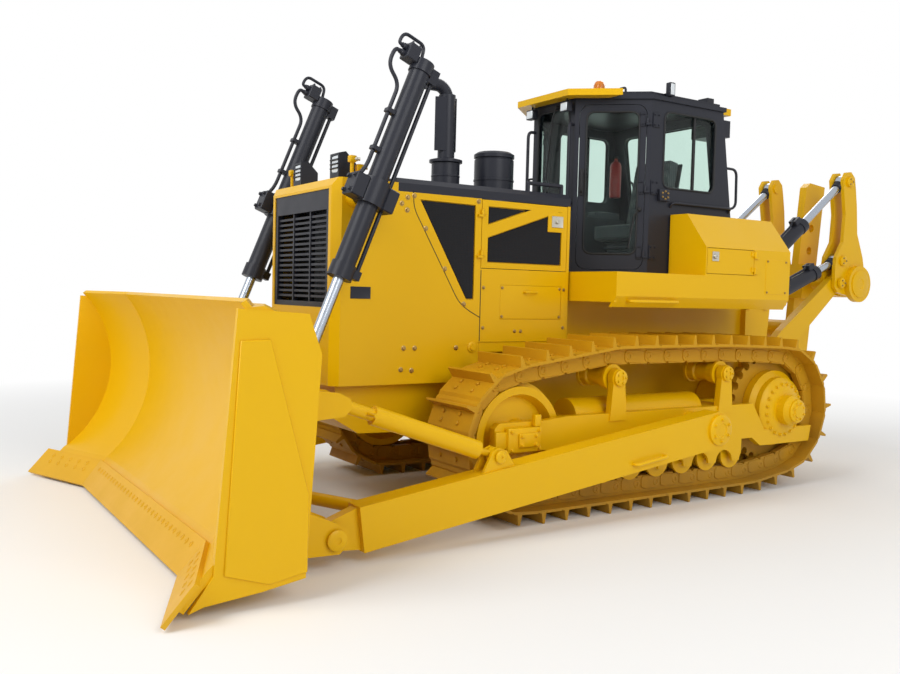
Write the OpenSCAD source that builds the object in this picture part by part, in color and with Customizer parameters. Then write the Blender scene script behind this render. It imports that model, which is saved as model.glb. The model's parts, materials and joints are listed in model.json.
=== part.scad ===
// Large crawler dozer with a semi-U blade and a rear single-shank ripper.
// Drawn from the sprocket axis: X forward, Y to the left, Z up from the ground.
// The finished machine is moved so that its origin lies under the middle of its length.

/* [Track] */
// Distance between the two track centre lines
gauge = 2140; // [2000:10:2300]
// Width of a track shoe
shoe_w = 560; // [500:10:620]
// Number of shoes on one track
shoe_count = 40; // [38:1:42]
// Height of the grouser bar on a shoe
grouser_h = 80; // [60:1:95]
// Thickness of a shoe plate
shoe_t = 22; // [16:1:28]
// Height of a chain pin above the shoe's inner face
pin_rise = 75; // [65:1:85]
// Distance from a chain pin to the rail's running face
rail_drop = 65; // [55:1:75]
// Idler axle, ahead of the sprocket axle
idler_x = 3000; // [2900:10:3100]
// Radius of the chain pins around the idler
idler_pin_r = 470; // [450:1:480]
// Height of the sprocket axle
sprocket_z = 728; // [700:1:750]
// Radius of the chain pins around the sprocket
sprocket_pin_r = 490; // [470:1:505]
// Pockets around the sprocket
sprocket_teeth = 27; // [25:2:29]
// Place of the rear carrier roller, ahead of the sprocket axle
carrier_rear = 805; // [780:5:830]
// Place of the front carrier roller, ahead of the sprocket axle
carrier_front = 2080; // [2050:5:2110]
// Height of the carrier rollers' axles
carrier_z = 1083; // [1060:1:1100]
// Tread radius of a carrier roller
carrier_r = 92; // [80:1:96]
// Tread radius of a bottom roller
roller_r = 110; // [95:1:118]
// Number of bottom rollers on one side
roller_count = 7; // [6:1:7]

/* [Blade] */
// Half the width of the blade at its end plates
blade_half_w = 2075; // [1950:5:2150]
// Half the width of the straight middle of the blade
blade_fold_y = 1400; // [1300:5:1450]
// Angle at which each wing turns forward
wing_angle = 21.6; // [15:0.1:25]
// Radius of the moldboard's face
moldboard_r = 992; // [950:1:1050]
// Thickness of the moldboard
moldboard_t = 34; // [25:1:45]
// Ground clearance of the cutting edge as parked
edge_clear = 14; // [10:1:30]

/* [Push arms] */
// Trunnion axle, ahead of the sprocket axle
trunnion_x = 1231; // [1200:1:1260]
// Height of the trunnion axle
trunnion_z = 655; // [640:1:670]
// Gap between a track's shoes and the push arm beside them
arm_gap = 100; // [80:5:130]
// Width of a push arm
arm_w = 170; // [150:5:190]
// Depth of a push arm's box section
arm_h = 300; // [260:5:320]
// Radius of the trunnion ball
ball_r = 70; // [60:1:75]

/* [Lift cylinders] */
// Distance of a lift cylinder from the middle of the machine
lift_y = 860; // [840:5:900]
// Outer radius of a lift cylinder's barrel
lift_barrel_r = 77; // [70:1:90]
// Radius of a lift cylinder's rod
lift_rod_r = 40; // [34:1:45]

/* [Body] */
// Half the width of the engine housing
body_half_w = 620; // [600:5:640]
// Thickness of the sheet panels
panel_t = 30; // [20:1:40]
// Height of the platform on the fenders
deck_z = 1940; // [1900:5:1980]
// Half the width over the fenders
fender_half_w = 1200; // [1150:5:1240]
// Height of the engine hood's top
hood_z = 2600; // [2580:1:2620]

/* [Cab] */
// Height of the cab's roof
roof_z = 3573; // [3500:1:3620]
// Half the width of the cab at its rear panels
cab_half_w = 750; // [700:5:755]
// Half the width of the windshield panel
shield_half_w = 300; // [280:5:360]
// Thickness of the cab's walls and doors
cab_t = 50; // [40:1:60]

/* [Ripper] */
// Distance of the ripper's links from the middle of the machine
link_y = 475; // [460:5:490]
// Thickness of the ripper's ear plates
ear_t = 40; // [30:1:45]
// Space between the two ear plates beside a link
ear_slot = 100; // [90:1:110]
// Radius of the beam tube
beam_r = 150; // [130:1:155]
// Radius of the beam's end discs
disc_r = 200; // [180:1:220]
// Thickness of the shank
shank_t = 90; // [80:1:100]
// Width of the shank
shank_w = 330; // [300:5:340]
// Outer radius of a ripper cylinder's barrel
rip_barrel_r = 74; // [65:1:80]
// Radius of a ripper cylinder's rod
rip_rod_r = 42; // [36:1:46]

/* [Fits] */
// Radial clearance of a pin or rod in its bore
run_fit = 0.05; // [0.02:0.01:0.1]
// Clearance between curved faces that slide past each other
slide_gap = 0.4; // [0.3:0.1:1]
// Clearance beside an eye between its ears
eye_gap = 7; // [5:1:12]
// Gap around a door
door_gap = 5; // [5:1:8]

/* [Hidden] */
$fn = 48;
big = 4000;

yellow = "#E3A90C";
charcoal = "#2B2D33";
chrome = "#C9CCD1";
glass = "#9FB8B0";

// Track route, in the plane of the track: X forward and Z up
track_y = gauge / 2;
pin_z = grouser_h + shoe_t + pin_rise;
rail_z = pin_z + rail_drop;
chord_dip = 8;
lift_off_x = 430;
rail_mid = 110;
rail_w = 60;
rail_seat = 5;
shoe_notch = 10;
link_end = 0.09;
grouser_at = 45;
grouser_foot = 22;
grouser_tip = 9;
shoe_cut = 6;
idler = [idler_x, pin_z + idler_pin_r];
sprocket = [0, sprocket_z];
carrier_x = [carrier_rear, carrier_front];
carrier_top = [for (x = carrier_x) [x, carrier_z + carrier_r + rail_drop + chord_dip]];
lift_off = [lift_off_x, pin_z];

function on_arc(c, r, a) = c + r * [cos(a), sin(a)];
function tangent(c, r, p, turn) = atan2(p[1] - c[1], p[0] - c[0]) + turn * acos(r / norm(p - c));
function sum(v, i = 0) = i < len(v) ? v[i] + sum(v, i + 1) : 0;

idler_leave = tangent(idler, idler_pin_r, carrier_top[1], -1);
sprocket_meet = tangent(sprocket, sprocket_pin_r, carrier_top[0], 1);
sprocket_leave = 360 + tangent(sprocket, sprocket_pin_r, lift_off, -1);
route = [
  ["arc", idler, idler_pin_r, -90, idler_leave],
  ["line", on_arc(idler, idler_pin_r, idler_leave), carrier_top[1]],
  ["line", carrier_top[1], carrier_top[0]],
  ["line", carrier_top[0], on_arc(sprocket, sprocket_pin_r, sprocket_meet)],
  ["arc", sprocket, sprocket_pin_r, sprocket_meet, sprocket_leave],
  ["line", on_arc(sprocket, sprocket_pin_r, sprocket_leave), lift_off],
  ["line", lift_off, [idler_x, pin_z]]];
function seg_len(s) = s[0] == "arc" ? s[2] * (s[4] - s[3]) * PI / 180 : norm(s[2] - s[1]);
function seg_at(s, d) = s[0] == "arc"
  ? on_arc(s[1], s[2], s[3] + d / s[2] * 180 / PI)
  : s[1] + (s[2] - s[1]) * d / norm(s[2] - s[1]);
function route_at(d, i = 0) = i == len(route) - 1 || d <= seg_len(route[i])
  ? seg_at(route[i], d)
  : route_at(d - seg_len(route[i]), i + 1);
pitch = sum([for (s = route) seg_len(s)]) / shoe_count;
pins = [for (k = [0 : shoe_count - 1]) route_at((k + 0.5) * pitch)];
function pin(k) = pins[(k + shoe_count) % shoe_count];
function chord(k) = norm(pin(k + 1) - pin(k));
function along(k) = (pin(k + 1) - pin(k)) / chord(k);
function outward(k) = [along(k)[1], -along(k)[0]];
function at_link(k, u, h) = pin(k) + along(k) * u + outward(k) * h;
function at_pin(k, h) =
  let (n = outward(k) + outward(k - 1 + shoe_count)) pin(k) + n / norm(n) * h;
shoe_h = pin_rise + shoe_t;
shoe_outer = [for (k = [0 : shoe_count - 1]) let (g = chord(k) - grouser_at) each [
  at_pin(k, pin_rise + shoe_notch),
  at_link(k, shoe_cut, shoe_h),
  at_link(k, g - grouser_foot, shoe_h),
  at_link(k, g - grouser_tip, shoe_h + grouser_h),
  at_link(k, g + grouser_tip, shoe_h + grouser_h),
  at_link(k, g + grouser_foot, shoe_h),
  at_link(k, chord(k) - shoe_cut, shoe_h)]];
shoe_inner = [for (k = [0 : shoe_count - 1]) at_pin(k, pin_rise)];
rail_outer = [for (k = [0 : shoe_count - 1]) at_pin(k, pin_rise + rail_seat)];
rail_notch = 45;
rail_inner = [for (k = [0 : shoe_count - 1]) each [
  at_pin(k, -rail_notch),
  at_link(k, chord(k) * link_end, -rail_drop),
  at_link(k, chord(k) * (1 - link_end), -rail_drop)]];

// Profiles drawn in X and Z, and pieces along the three axes
module slab(y0, y1) {
  translate([0, y1, 0]) rotate([90, 0, 0]) linear_extrude(y1 - y0) children();
}
module rod_y(p, r, y0, y1) {
  translate([p[0], y1, p[1]]) rotate([90, 0, 0]) cylinder(r = r, h = y1 - y0);
}
module block(lo, hi) {
  translate(lo) cube(hi - lo);
}
module tube(p, q, r) {
  d = q - p;
  translate(p) rotate([0, acos(d[2] / norm(d)), atan2(d[1], d[0])]) cylinder(r = r, h = norm(d));
}
module turned_y(c, y) {
  translate([c[0], y, c[1]]) rotate([-90, 0, 0]) rotate_extrude() children();
}
module plate_x(x0, x1) {
  translate([x0, 0, 0]) rotate([90, 0, 90]) linear_extrude(x1 - x0) children();
}
module rounded(lo, hi, r) {
  translate([lo[0] + r, lo[1]]) square([hi[0] - lo[0] - 2 * r, hi[1] - lo[1]]);
  translate([lo[0], lo[1] + r]) square([hi[0] - lo[0], hi[1] - lo[1] - 2 * r]);
  for (x = [lo[0] + r, hi[0] - r])
    for (y = [lo[1] + r, hi[1] - r])
      translate([x, y]) circle(r);
}
module pair() {
  children();
  mirror([0, 1, 0]) children();
}
module mirrored() {
  mirror([0, 1, 0]) children();
}
module ring(outer, inner, y0, y1) {
  difference() {
    slab(y0, y1) polygon(outer);
    slab(y0 - 1, y1 + 1) polygon(inner);
  }
}

// Undercarriage
module track() {
  color(yellow) {
    ring(shoe_outer, shoe_inner, track_y - shoe_w / 2, track_y + shoe_w / 2);
    for (s = [-1, 1])
      ring(rail_outer, rail_inner, track_y + s * rail_mid - rail_w / 2,
        track_y + s * rail_mid + rail_w / 2);
  }
}
module track_left() track();
module track_right() mirrored() track();

idler_tread = idler_pin_r * cos(asin(pitch / 2 / idler_pin_r)) - rail_drop - slide_gap;
idler_flange = idler_tread + 36;
tread_in = 72;
tread_out = 146;
idler_axle_r = 60;
frame_in = 170;
frame_out = 230;
module idlers() {
  color(yellow) pair() turned_y(idler, track_y) polygon([
    [0, -frame_out], [idler_axle_r, -frame_out], [idler_axle_r, -160], [125, -160], [140, -90],
    [idler_tread - 90, -60], [idler_tread - 60, -tread_out], [idler_tread, -tread_out],
    [idler_tread, -tread_in], [idler_flange, -tread_in + 8], [idler_flange, tread_in - 8],
    [idler_tread, tread_in], [idler_tread, tread_out], [idler_tread - 60, tread_out],
    [idler_tread - 90, 60], [140, 90], [125, 160], [idler_axle_r, 160], [idler_axle_r, frame_out],
    [0, frame_out]]);
}

tooth_rise = 18;
pocket_r = 36;
sprocket_half_t = 45;
hub_r = 296;
sprocket_pins = [for (p = pins) if (abs(norm(p - sprocket) - sprocket_pin_r) < 1) p];
tooth_phase = atan2(sprocket_pins[3][1] - sprocket_z, sprocket_pins[3][0]);
module sprockets() {
  color(yellow) pair() difference() {
    rod_y(sprocket, sprocket_pin_r + tooth_rise, track_y - sprocket_half_t, track_y + sprocket_half_t);
    rod_y(sprocket, hub_r + slide_gap, track_y - 100, track_y + 100);
    for (i = [0 : sprocket_teeth - 1])
      rod_y(on_arc(sprocket, sprocket_pin_r, tooth_phase + i * 360 / sprocket_teeth), pocket_r,
        track_y - 100, track_y + 100);
  }
}

case_half_w = 500;
guard_r = 352;
drive_r = 318;
cap_r = 140;
module final_drives() {
  in = case_half_w - track_y;
  color(yellow) pair() turned_y(sprocket, track_y) polygon([
    [0, in], [drive_r - 20, in], [drive_r, in + 30], [drive_r, -90], [hub_r, -60], [hub_r, 50],
    [guard_r, 50], [guard_r, 120], [300, 150], [cap_r, frame_in], [cap_r, 340], [110, 380], [0, 380]]);
}

roller_x0 = 630;
roller_x1 = 2460;
roller_z = rail_z + roller_r + slide_gap;
roller_step = (roller_x1 - roller_x0) / (roller_count - 1);
roller_flange = 18;
roller_shaft_r = 35;
guard_in = 205;
module roller_shape(tread, flange, y_in, y_out) {
  polygon([[0, -y_in], [roller_shaft_r, -y_in], [roller_shaft_r, -168], [flange, -168],
    [flange, -tread_out + 2],
    [tread, -tread_out + 4], [tread, -tread_in], [tread - 15, -60], [tread - 15, 60], [tread, tread_in],
    [tread, tread_out - 4], [flange, tread_out - 2], [flange, 168], [roller_shaft_r, 168],
    [roller_shaft_r, y_out], [0, y_out]]);
}
module track_rollers() {
  color(yellow) pair() {
    for (i = [0 : roller_count - 1])
      turned_y([roller_x0 + i * roller_step, roller_z], track_y)
        roller_shape(roller_r, roller_r + roller_flange, guard_in - slide_gap, guard_in - slide_gap);
    for (x = carrier_x)
      turned_y([x, carrier_z], track_y) roller_shape(carrier_r, carrier_r + 14, 168, 185 - slide_gap);
  }
}

frame_top = 800;
frame_low = 490;
guard_low = 300;
spring_r = 150;
arm_in = track_y + shoe_w / 2 + arm_gap;
ball_y = arm_in + arm_w / 2;
trunnion = [trunnion_x, trunnion_z];
trunnion_pin_r = 45;
pin_reach = 20;
module frame_plate() {
  polygon([[-400, 410], [-430, 555], [250, 555], [420, frame_top], [2600, frame_top], [2820, 780],
    [3250, 780], [3290, 740], [3290, 590], [3250, 555], [2820, 555], [2560, frame_low], [420, frame_low],
    [300, 410]]);
}
module track_frame() {
  color(yellow) difference() {
    translate([0, track_y, 0]) {
      slab(-frame_in, frame_in) polygon([[580, frame_low + 15], [580, 700], [700, frame_top],
        [2420, frame_top],
        [2500, 700], [2500, frame_low + 15]]);
      translate([1000, 0, frame_top - 40]) rotate([0, 90, 0]) cylinder(r = spring_r, h = 1440);
      slab(frame_in, frame_out) frame_plate();
      intersection() {
        slab(-frame_out, -frame_in) frame_plate();
        block([420, -frame_out, 0], [big, frame_out, big]);
      }
      for (s = [-1, 1]) difference() {
        slab(s > 0 ? guard_in : -frame_out, s > 0 ? frame_out : -guard_in)
          polygon([[560, guard_low], [2500, guard_low], [2500, frame_low + 20], [560, frame_low + 20]]);
        for (i = [0 : roller_count])
          rod_y([roller_x0 + (i - 0.5) * roller_step, guard_low], 105, s * 220 - 40, s * 220 + 40);
      }
      for (x = carrier_x) {
        slab(185, 245) polygon([[x - 90, frame_top - 60], [x - 60, carrier_z], [x + 60, carrier_z],
          [x + 90, frame_top - 60]]);
        rod_y([x, carrier_z], 75, 185, 245);
      }
      rod_y(trunnion, 120, frame_out - 1, frame_out + 45);
      rod_y(trunnion, trunnion_pin_r, frame_out - 1, ball_y + pin_reach - track_y);
    }
    rod_y(idler, idler_axle_r + slide_gap, track_y - frame_out - 1, track_y + frame_out + 1);
  }
}
module track_frames() pair() track_frame();

// Hull
case_rear = -330;
frame_front = 4200;
sill_z = 1250;
guard_z = 1020;
cowl_x = 2040;
module main_frame() {
  color(yellow) {
    slab(-case_half_w, case_half_w) polygon([[case_rear, 540], [case_rear + 80, 470], [900, 470],
      [1100, 560],
      [4000, 640], [frame_front, 760], [frame_front, guard_z], [3560, guard_z], [3560, sill_z],
      [cowl_x, sill_z],
      [cowl_x, deck_z], [60, deck_z], [60, 1640], [case_rear, 1640]]);
    pair() rod_y([700, 640], 90, case_half_w - 1, track_y - frame_out);
    block([2320, frame_out - track_y, 520], [2480, track_y - frame_out, 700]);
  }
}
module engine_block() {
  color("#6B6B68") {
    block([2120, -330, sill_z], [3380, 330, 1900]);
    block([2200, -250, 1899], [3300, 250, 2300]);
  }
}

nose_x = 4290;
guard_rear = 2985;
band_z = 2495;
band_x = 3760;
guard_top = 2560;
grille_half_w = 520;
grille_z = [1600, 2480];
nose_round = 60;
module guard_side() {
  polygon([[nose_x, guard_z], [3250, guard_z], [3250, 1300], [guard_rear, 1340], [guard_rear, band_z],
    [band_x, band_z], [band_x, guard_top], [nose_x - 40, guard_top], [nose_x, guard_top - 60]]);
}
vent = [[3565, 2446], [3045, 2440], [3046, 1683], [3117, 1681]];
vent_depth = 18;
module radiator_guard() {
  in = body_half_w - panel_t;
  color(yellow) difference() {
    intersection() {
      slab(-body_half_w, body_half_w) guard_side();
      linear_extrude(big) polygon([[0, -body_half_w], [nose_x - nose_round, -body_half_w],
        [nose_x, -body_half_w + nose_round], [nose_x, body_half_w - nose_round],
        [nose_x - nose_round, body_half_w], [0, body_half_w]]);
    }
    block([0, -in, guard_z + panel_t], [nose_x - 2 * panel_t, in, guard_top - panel_t]);
    block([0, -in, 0], [3560 + slide_gap, in, big]);
    block([nose_x - 100, -grille_half_w, grille_z[0]], [big * 2, grille_half_w, grille_z[1]]);
    pair() slab(body_half_w - vent_depth, body_half_w + 1) polygon(vent);
  }
  color(yellow) pair() {
    engine_hinge_pins();
    yoke_boss();
  }
}
module radiator() {
  color("#3A3A3C") block([3900, -540, guard_z + panel_t], [4080, 540, 2480]);
}
bar_count = 16;
module grilles() {
  x0 = nose_x - 60;
  z0 = grille_z[0];
  z1 = grille_z[1];
  color(charcoal) {
    difference() {
      block([x0, -grille_half_w, z0], [nose_x - 8, grille_half_w, z1]);
      block([x0 - 1, -grille_half_w + 50, z0 + 40], [nose_x, grille_half_w - 50, z1 - 150]);
    }
    for (i = [1 : bar_count])
      block([x0, -grille_half_w + 49, z0 + 40 + i * (z1 - z0 - 190) / (bar_count + 1) - 9],
        [x0 + 40, grille_half_w - 49, z0 + 40 + i * (z1 - z0 - 190) / (bar_count + 1) + 9]);
    for (y = [-160, 160])
      block([x0 + 5, y - 10, z0 + 39], [x0 + 45, y + 10, z1 - 149]);
  }
}
hood_rear = 2060;
module hood() {
  color(charcoal) difference() {
    intersection() {
      block([hood_rear, -body_half_w, band_z], [band_x, body_half_w, hood_z]);
      translate([hood_rear, 0, 0]) rotate([90, 0, 90]) linear_extrude(band_x - hood_rear) polygon([
        [-body_half_w, band_z], [body_half_w, band_z], [body_half_w, hood_z - 40],
        [body_half_w - 40, hood_z],
        [40 - body_half_w, hood_z], [-body_half_w, hood_z - 40]]);
    }
    block([hood_rear + panel_t, panel_t - body_half_w, 0],
      [band_x - panel_t, body_half_w - panel_t, hood_z - 25]);
  }
}
door_x = [2093, 2980];
door_z = [deck_z, 2490];
recess_t = 8;
module engine_side() {
  y0 = body_half_w - panel_t;
  difference() {
    block([hood_rear, y0, 1340], [guard_rear, body_half_w, band_z]);
    block([door_x[0] - door_gap, y0 - 1, door_z[0] - door_gap],
      [guard_rear + 1, body_half_w + 1, band_z + 1]);
    block([hood_rear + 77, body_half_w - recess_t, 1525], [guard_rear - 203, body_half_w + 1, 1808]);
  }
}
module engine_sides() color(yellow) pair() engine_side();

exhaust_at = [2950, 0];
exhaust_r = 54;
exhaust_bend_r = 110;
module exhaust_stack() {
  color(charcoal) translate([exhaust_at[0], 0, 0]) {
    translate([0, 0, hood_z]) cylinder(r = 110, h = 60);
    translate([0, 0, hood_z + 40]) cylinder(r = 85, h = 90);
    translate([0, 0, hood_z + 100]) cylinder(r = exhaust_r, h = 690);
    translate([exhaust_bend_r, 0, hood_z + 790]) rotate([90, 0, 0]) rotate([0, 0, 90])
      rotate_extrude(angle = 90) translate([exhaust_bend_r, 0]) circle(exhaust_r);
    translate([exhaust_bend_r, 0, hood_z + 790 + exhaust_bend_r]) rotate([0, 90, 0])
      cylinder(r = exhaust_r, h = 120);
  }
}
precleaner_x = 2440;
module precleaner() {
  color(charcoal) translate([precleaner_x, 0, hood_z]) rotate_extrude() polygon([[0, 0], [110, 0],
    [110, 110],
    [165, 150], [165, 330], [180, 335], [180, 365], [150, 385], [0, 385]]);
}

// Hinge: the axis is local Z, the fixed side lies at +X and the panel's outer face at -hinge_out
hinge_out = 14;
hinge_r = 13;
hinge_pin_r = 7;
hinge_half = 30;
hinge_leaf = 42;
module hinge_fixed() {
  translate([0, 0, -hinge_half]) {
    cylinder(r = hinge_pin_r, h = 2 * hinge_half);
    cylinder(r = hinge_r, h = 18);
    block([0, -hinge_out, 0], [hinge_leaf, hinge_r, 18]);
  }
}
module hinge_moving() {
  difference() {
    translate([0, 0, 19 - hinge_half]) {
      cylinder(r = hinge_r, h = 2 * hinge_half - 19);
      block([-hinge_leaf, -hinge_out - 1, 0], [0, -4, 2 * hinge_half - 19]);
    }
    translate([0, 0, -hinge_half]) cylinder(r = hinge_pin_r + run_fit, h = 4 * hinge_half);
  }
}
engine_hinge_z = [2050, 2380];
module at_engine_hinge() {
  for (z = engine_hinge_z) translate([guard_rear, body_half_w + hinge_out, z]) children();
}
module engine_hinge_pins() at_engine_hinge() hinge_fixed();
module engine_door() {
  y0 = body_half_w - panel_t;
  color(yellow) {
    difference() {
      block([door_x[0], y0, door_z[0]], [door_x[1], body_half_w, door_z[1]]);
      slab(body_half_w - vent_depth, body_half_w + 1) polygon([[2920, 2440], [2920, 2290], [2480, 2440]]);
      slab(body_half_w - vent_depth, body_half_w + 1) polygon([[2920, 2190], [2920, 1985],
        [2150, 1985], [2150, 2440],
        [2190, 2440]]);
    }
    at_engine_hinge() hinge_moving();
  }
}
module engine_door_left() engine_door();
module engine_door_right() mirrored() engine_door();

// Cab: a six-sided plan, with the doors in the slanting panels
cab_rear = 170;
cab_rear_top = 330;
cab_b = 1260;
cab_a = 1770;
wall_top = 3500;
waist_z = 2490;
cab_turn = atan2(cab_half_w - shield_half_w, cab_a - cab_b);
door_panel = norm([cab_half_w - shield_half_w, cab_a - cab_b]);
pillar = 40;
floor_t = 30;
function cab_plan(t) = let (
    w = cab_half_w - t,
    b = cab_b - t * tan(cab_turn / 2),
    s = shield_half_w - t * tan((90 - cab_turn) / 2))
  [[0, w], [b, w], [cab_a - t, s], [cab_a - t, -s], [b, -w], [0, -w]];
function rear_x(z) = cab_rear + max(0, z - waist_z) * (cab_rear_top - cab_rear) / (wall_top - waist_z);
module cab_side(t) {
  polygon([[rear_x(0) + t, 0], [rear_x(0) + t, waist_z], [rear_x(wall_top) + t, wall_top],
    [rear_x(wall_top) + t, wall_top + 200], [big, wall_top + 200], [big, 0]]);
}
module cab_volume(t, z0, z1) {
  intersection() {
    translate([0, 0, z0]) linear_extrude(z1 - z0) polygon(cab_plan(t));
    slab(-big, big) cab_side(t);
  }
}
module at_door() {
  translate([cab_b, cab_half_w, 0]) rotate([0, 0, -cab_turn]) children();
}
cab_door_z = [1980, 3450];
door_round = 90;
window_round = 70;
cab_hinge_z = [2120, 2700, 3300];
shield_half = 225;
shield_z = [2540, 3440];
side_x = [430, 1100];
side_z = [2730, 3410];
rear_half = 560;
rear_z = [2600, 3410];
module cab_shell() {
  color(charcoal) {
    difference() {
      cab_volume(0, deck_z, wall_top);
      cab_volume(cab_t, deck_z + floor_t, wall_top + 10);
      pair() at_door() slab(-cab_t - 60, 20)
        rounded([pillar, cab_door_z[0] - door_gap], [door_panel - pillar, cab_door_z[1] + door_gap],
          door_round + door_gap);
      plate_x(cab_a - cab_t - 10, cab_a + 10)
        rounded([-shield_half, shield_z[0]], [shield_half, shield_z[1]], window_round);
      slab(-big, big) rounded([side_x[0], side_z[0]], [side_x[1], side_z[1]], window_round);
      plate_x(0, cab_rear_top + cab_t + 30)
        rounded([-rear_half, rear_z[0]], [rear_half, rear_z[1]], window_round);
    }
    block([cab_a, -shield_half_w, deck_z], [cowl_x, shield_half_w, 2500]);
    pair() at_door() for (z = cab_hinge_z)
      translate([pillar, hinge_out, z]) mirror([1, 0, 0]) hinge_fixed();
  }
}
door_rim = 62;
door_sill = 140;
glass_t = 10;
glass_set = 20;
module door_window(v0, v1) {
  slab(v0, v1) rounded([pillar + door_gap + door_rim, cab_door_z[0] + door_sill],
    [door_panel - pillar - door_gap - door_rim, cab_door_z[1] - door_rim], window_round);
}
module cab_door() {
  color(charcoal) at_door() {
    difference() {
      slab(-cab_t, 0) rounded([pillar + door_gap, cab_door_z[0]],
        [door_panel - pillar - door_gap, cab_door_z[1]],
        door_round);
      door_window(-cab_t - 1, 1);
    }
    for (z = cab_hinge_z) translate([pillar, hinge_out, z]) mirror([1, 0, 0]) hinge_moving();
  }
}
module cab_door_left() cab_door();
module cab_door_right() mirrored() cab_door();
module door_glass() {
  color(glass) at_door() door_window(-glass_set - glass_t, -glass_set);
}
module door_glass_left() door_glass();
module door_glass_right() mirrored() door_glass();
module cab_glass() {
  x = cab_a - glass_set;
  color(glass) {
    plate_x(x - glass_t, x) rounded([-shield_half, shield_z[0]], [shield_half, shield_z[1]], window_round);
    pair() slab(cab_half_w - glass_set - glass_t, cab_half_w - glass_set)
      rounded([side_x[0], side_z[0]], [side_x[1], side_z[1]], window_round);
    intersection() {
      slab(-big, big) polygon([for (c = [[0, 0], [1, 0], [1, 1], [0, 1]])
        [rear_x(rear_z[c[1]]) + glass_set + c[0] * glass_t, rear_z[c[1]]]]);
      plate_x(0, big) rounded([-rear_half, rear_z[0]], [rear_half, rear_z[1]], window_round);
    }
  }
}
roof_out = 20;
roof_in = 25;
roof_step = 40;
module cab_roof() {
  color(charcoal) {
    cab_volume(-roof_out, wall_top, wall_top + roof_step);
    cab_volume(roof_in, wall_top + roof_step - 1, roof_z);
  }
}
visor_out = 150;
visor_x = 1560;
visor_back = 190;
visor_drop = 5;
module cab_visors() {
  color(yellow) {
    difference() {
      cab_volume(-visor_out, wall_top + 8, roof_z - 8);
      cab_volume(-roof_out, wall_top - 10, roof_z + 10);
      block([-big, -big, 0], [visor_x, big, big]);
    }
    block([cab_rear_top - roof_out - visor_back, -cab_half_w + 90, wall_top + visor_drop],
      [cab_rear_top - roof_out, cab_half_w - 90, roof_z - visor_drop]);
  }
}
seat_x = 760;
floor_z = deck_z + floor_t;
module cab_seat() {
  color("#5C5E60") {
    block([seat_x - 200, -200, floor_z], [seat_x + 200, 200, floor_z + 330]);
    block([seat_x - 270, -260, floor_z + 330], [seat_x + 260, 260, floor_z + 470]);
    slab(-250, 250) polygon([[seat_x - 150, floor_z + 469], [seat_x - 270, floor_z + 469],
      [seat_x - 390, floor_z + 1120], [seat_x - 290, floor_z + 1140]]);
  }
}
module cab_console() {
  color(charcoal) {
    pair() block([seat_x - 250, 340, floor_z], [seat_x + 330, 560, floor_z + 560]);
    block([cab_a - cab_t - 160, -210, floor_z], [cab_a - cab_t, 210, 2480]);
  }
}
rail_r = 17;
module rail(points) {
  for (i = [0 : len(points) - 2]) tube(points[i], points[i + 1], rail_r);
  for (i = [1 : len(points) - 2]) translate(points[i]) sphere(rail_r);
}
module cab_fittings() {
  color(charcoal) {
    block([cab_rear_top - 230, 330, 3300], [rear_x(3300), 640, wall_top - 40]);
    pair() rail([[hood_rear + 60, 560, hood_z], [hood_rear + 60, 560, hood_z + 70],
      [hood_rear + 420, 560, hood_z + 70], [hood_rear + 420, 560, hood_z]]);
  }
}
lamp_y = 350;
lamp_half = 75;
lamp_x = 4170;
lamp_rim = 16;
lens_depth = 14;
head_lamp = [[lamp_x - 150, guard_top], [lamp_x, guard_top], [lamp_x, guard_top + 205],
  [lamp_x - 60, guard_top + 220],
  [lamp_x - 150, guard_top + 130]];
module lamps() {
  color(charcoal) {
    pair() difference() {
      slab(lamp_y - lamp_half, lamp_y + lamp_half) polygon(head_lamp);
      plate_x(lamp_x - lens_depth, lamp_x + 1) rounded([lamp_y - lamp_half + lamp_rim, guard_top + 60],
        [lamp_y + lamp_half - lamp_rim, guard_top + 190], lamp_rim);
    }
    pair() difference() {
      block([cab_rear_top - 100, cab_half_w - 330, roof_z - visor_drop],
        [cab_rear_top - 10, cab_half_w - 210, roof_z + 100]);
      plate_x(cab_rear_top - 101, cab_rear_top - 100 + lens_depth)
        rounded([cab_half_w - 330 + 10, roof_z + 10], [cab_half_w - 210 - 10, roof_z + 90], 14);
    }
    translate([cab_b + 180, 240, roof_z]) rotate_extrude() polygon([[0, 0], [62, 0], [62, 26],
      [54, 34], [50, 110],
      [38, 138], [20, 150], [0, 150]]);
  }
}

// Fenders, boxes and tanks
fender_rear = -150;
sheet = 25;
crease_z = 1740;
skirt_z = 1650;
module fender() {
  w = fender_half_w;
  translate([fender_rear, 0, 0]) rotate([90, 0, 90]) linear_extrude(cowl_x - fender_rear) polygon([
    [case_half_w, deck_z], [w, deck_z], [w, crease_z], [w - 60, skirt_z], [w - 60 - sheet, skirt_z],
    [w - sheet, crease_z], [w - sheet, deck_z - sheet], [case_half_w, deck_z - sheet]]);
  for (x = [fender_rear, cowl_x - sheet])
    block([x, case_half_w, skirt_z + 40], [x + sheet, w - sheet + 1, deck_z - 1]);
}
module fenders() color(yellow) pair() fender();

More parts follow.
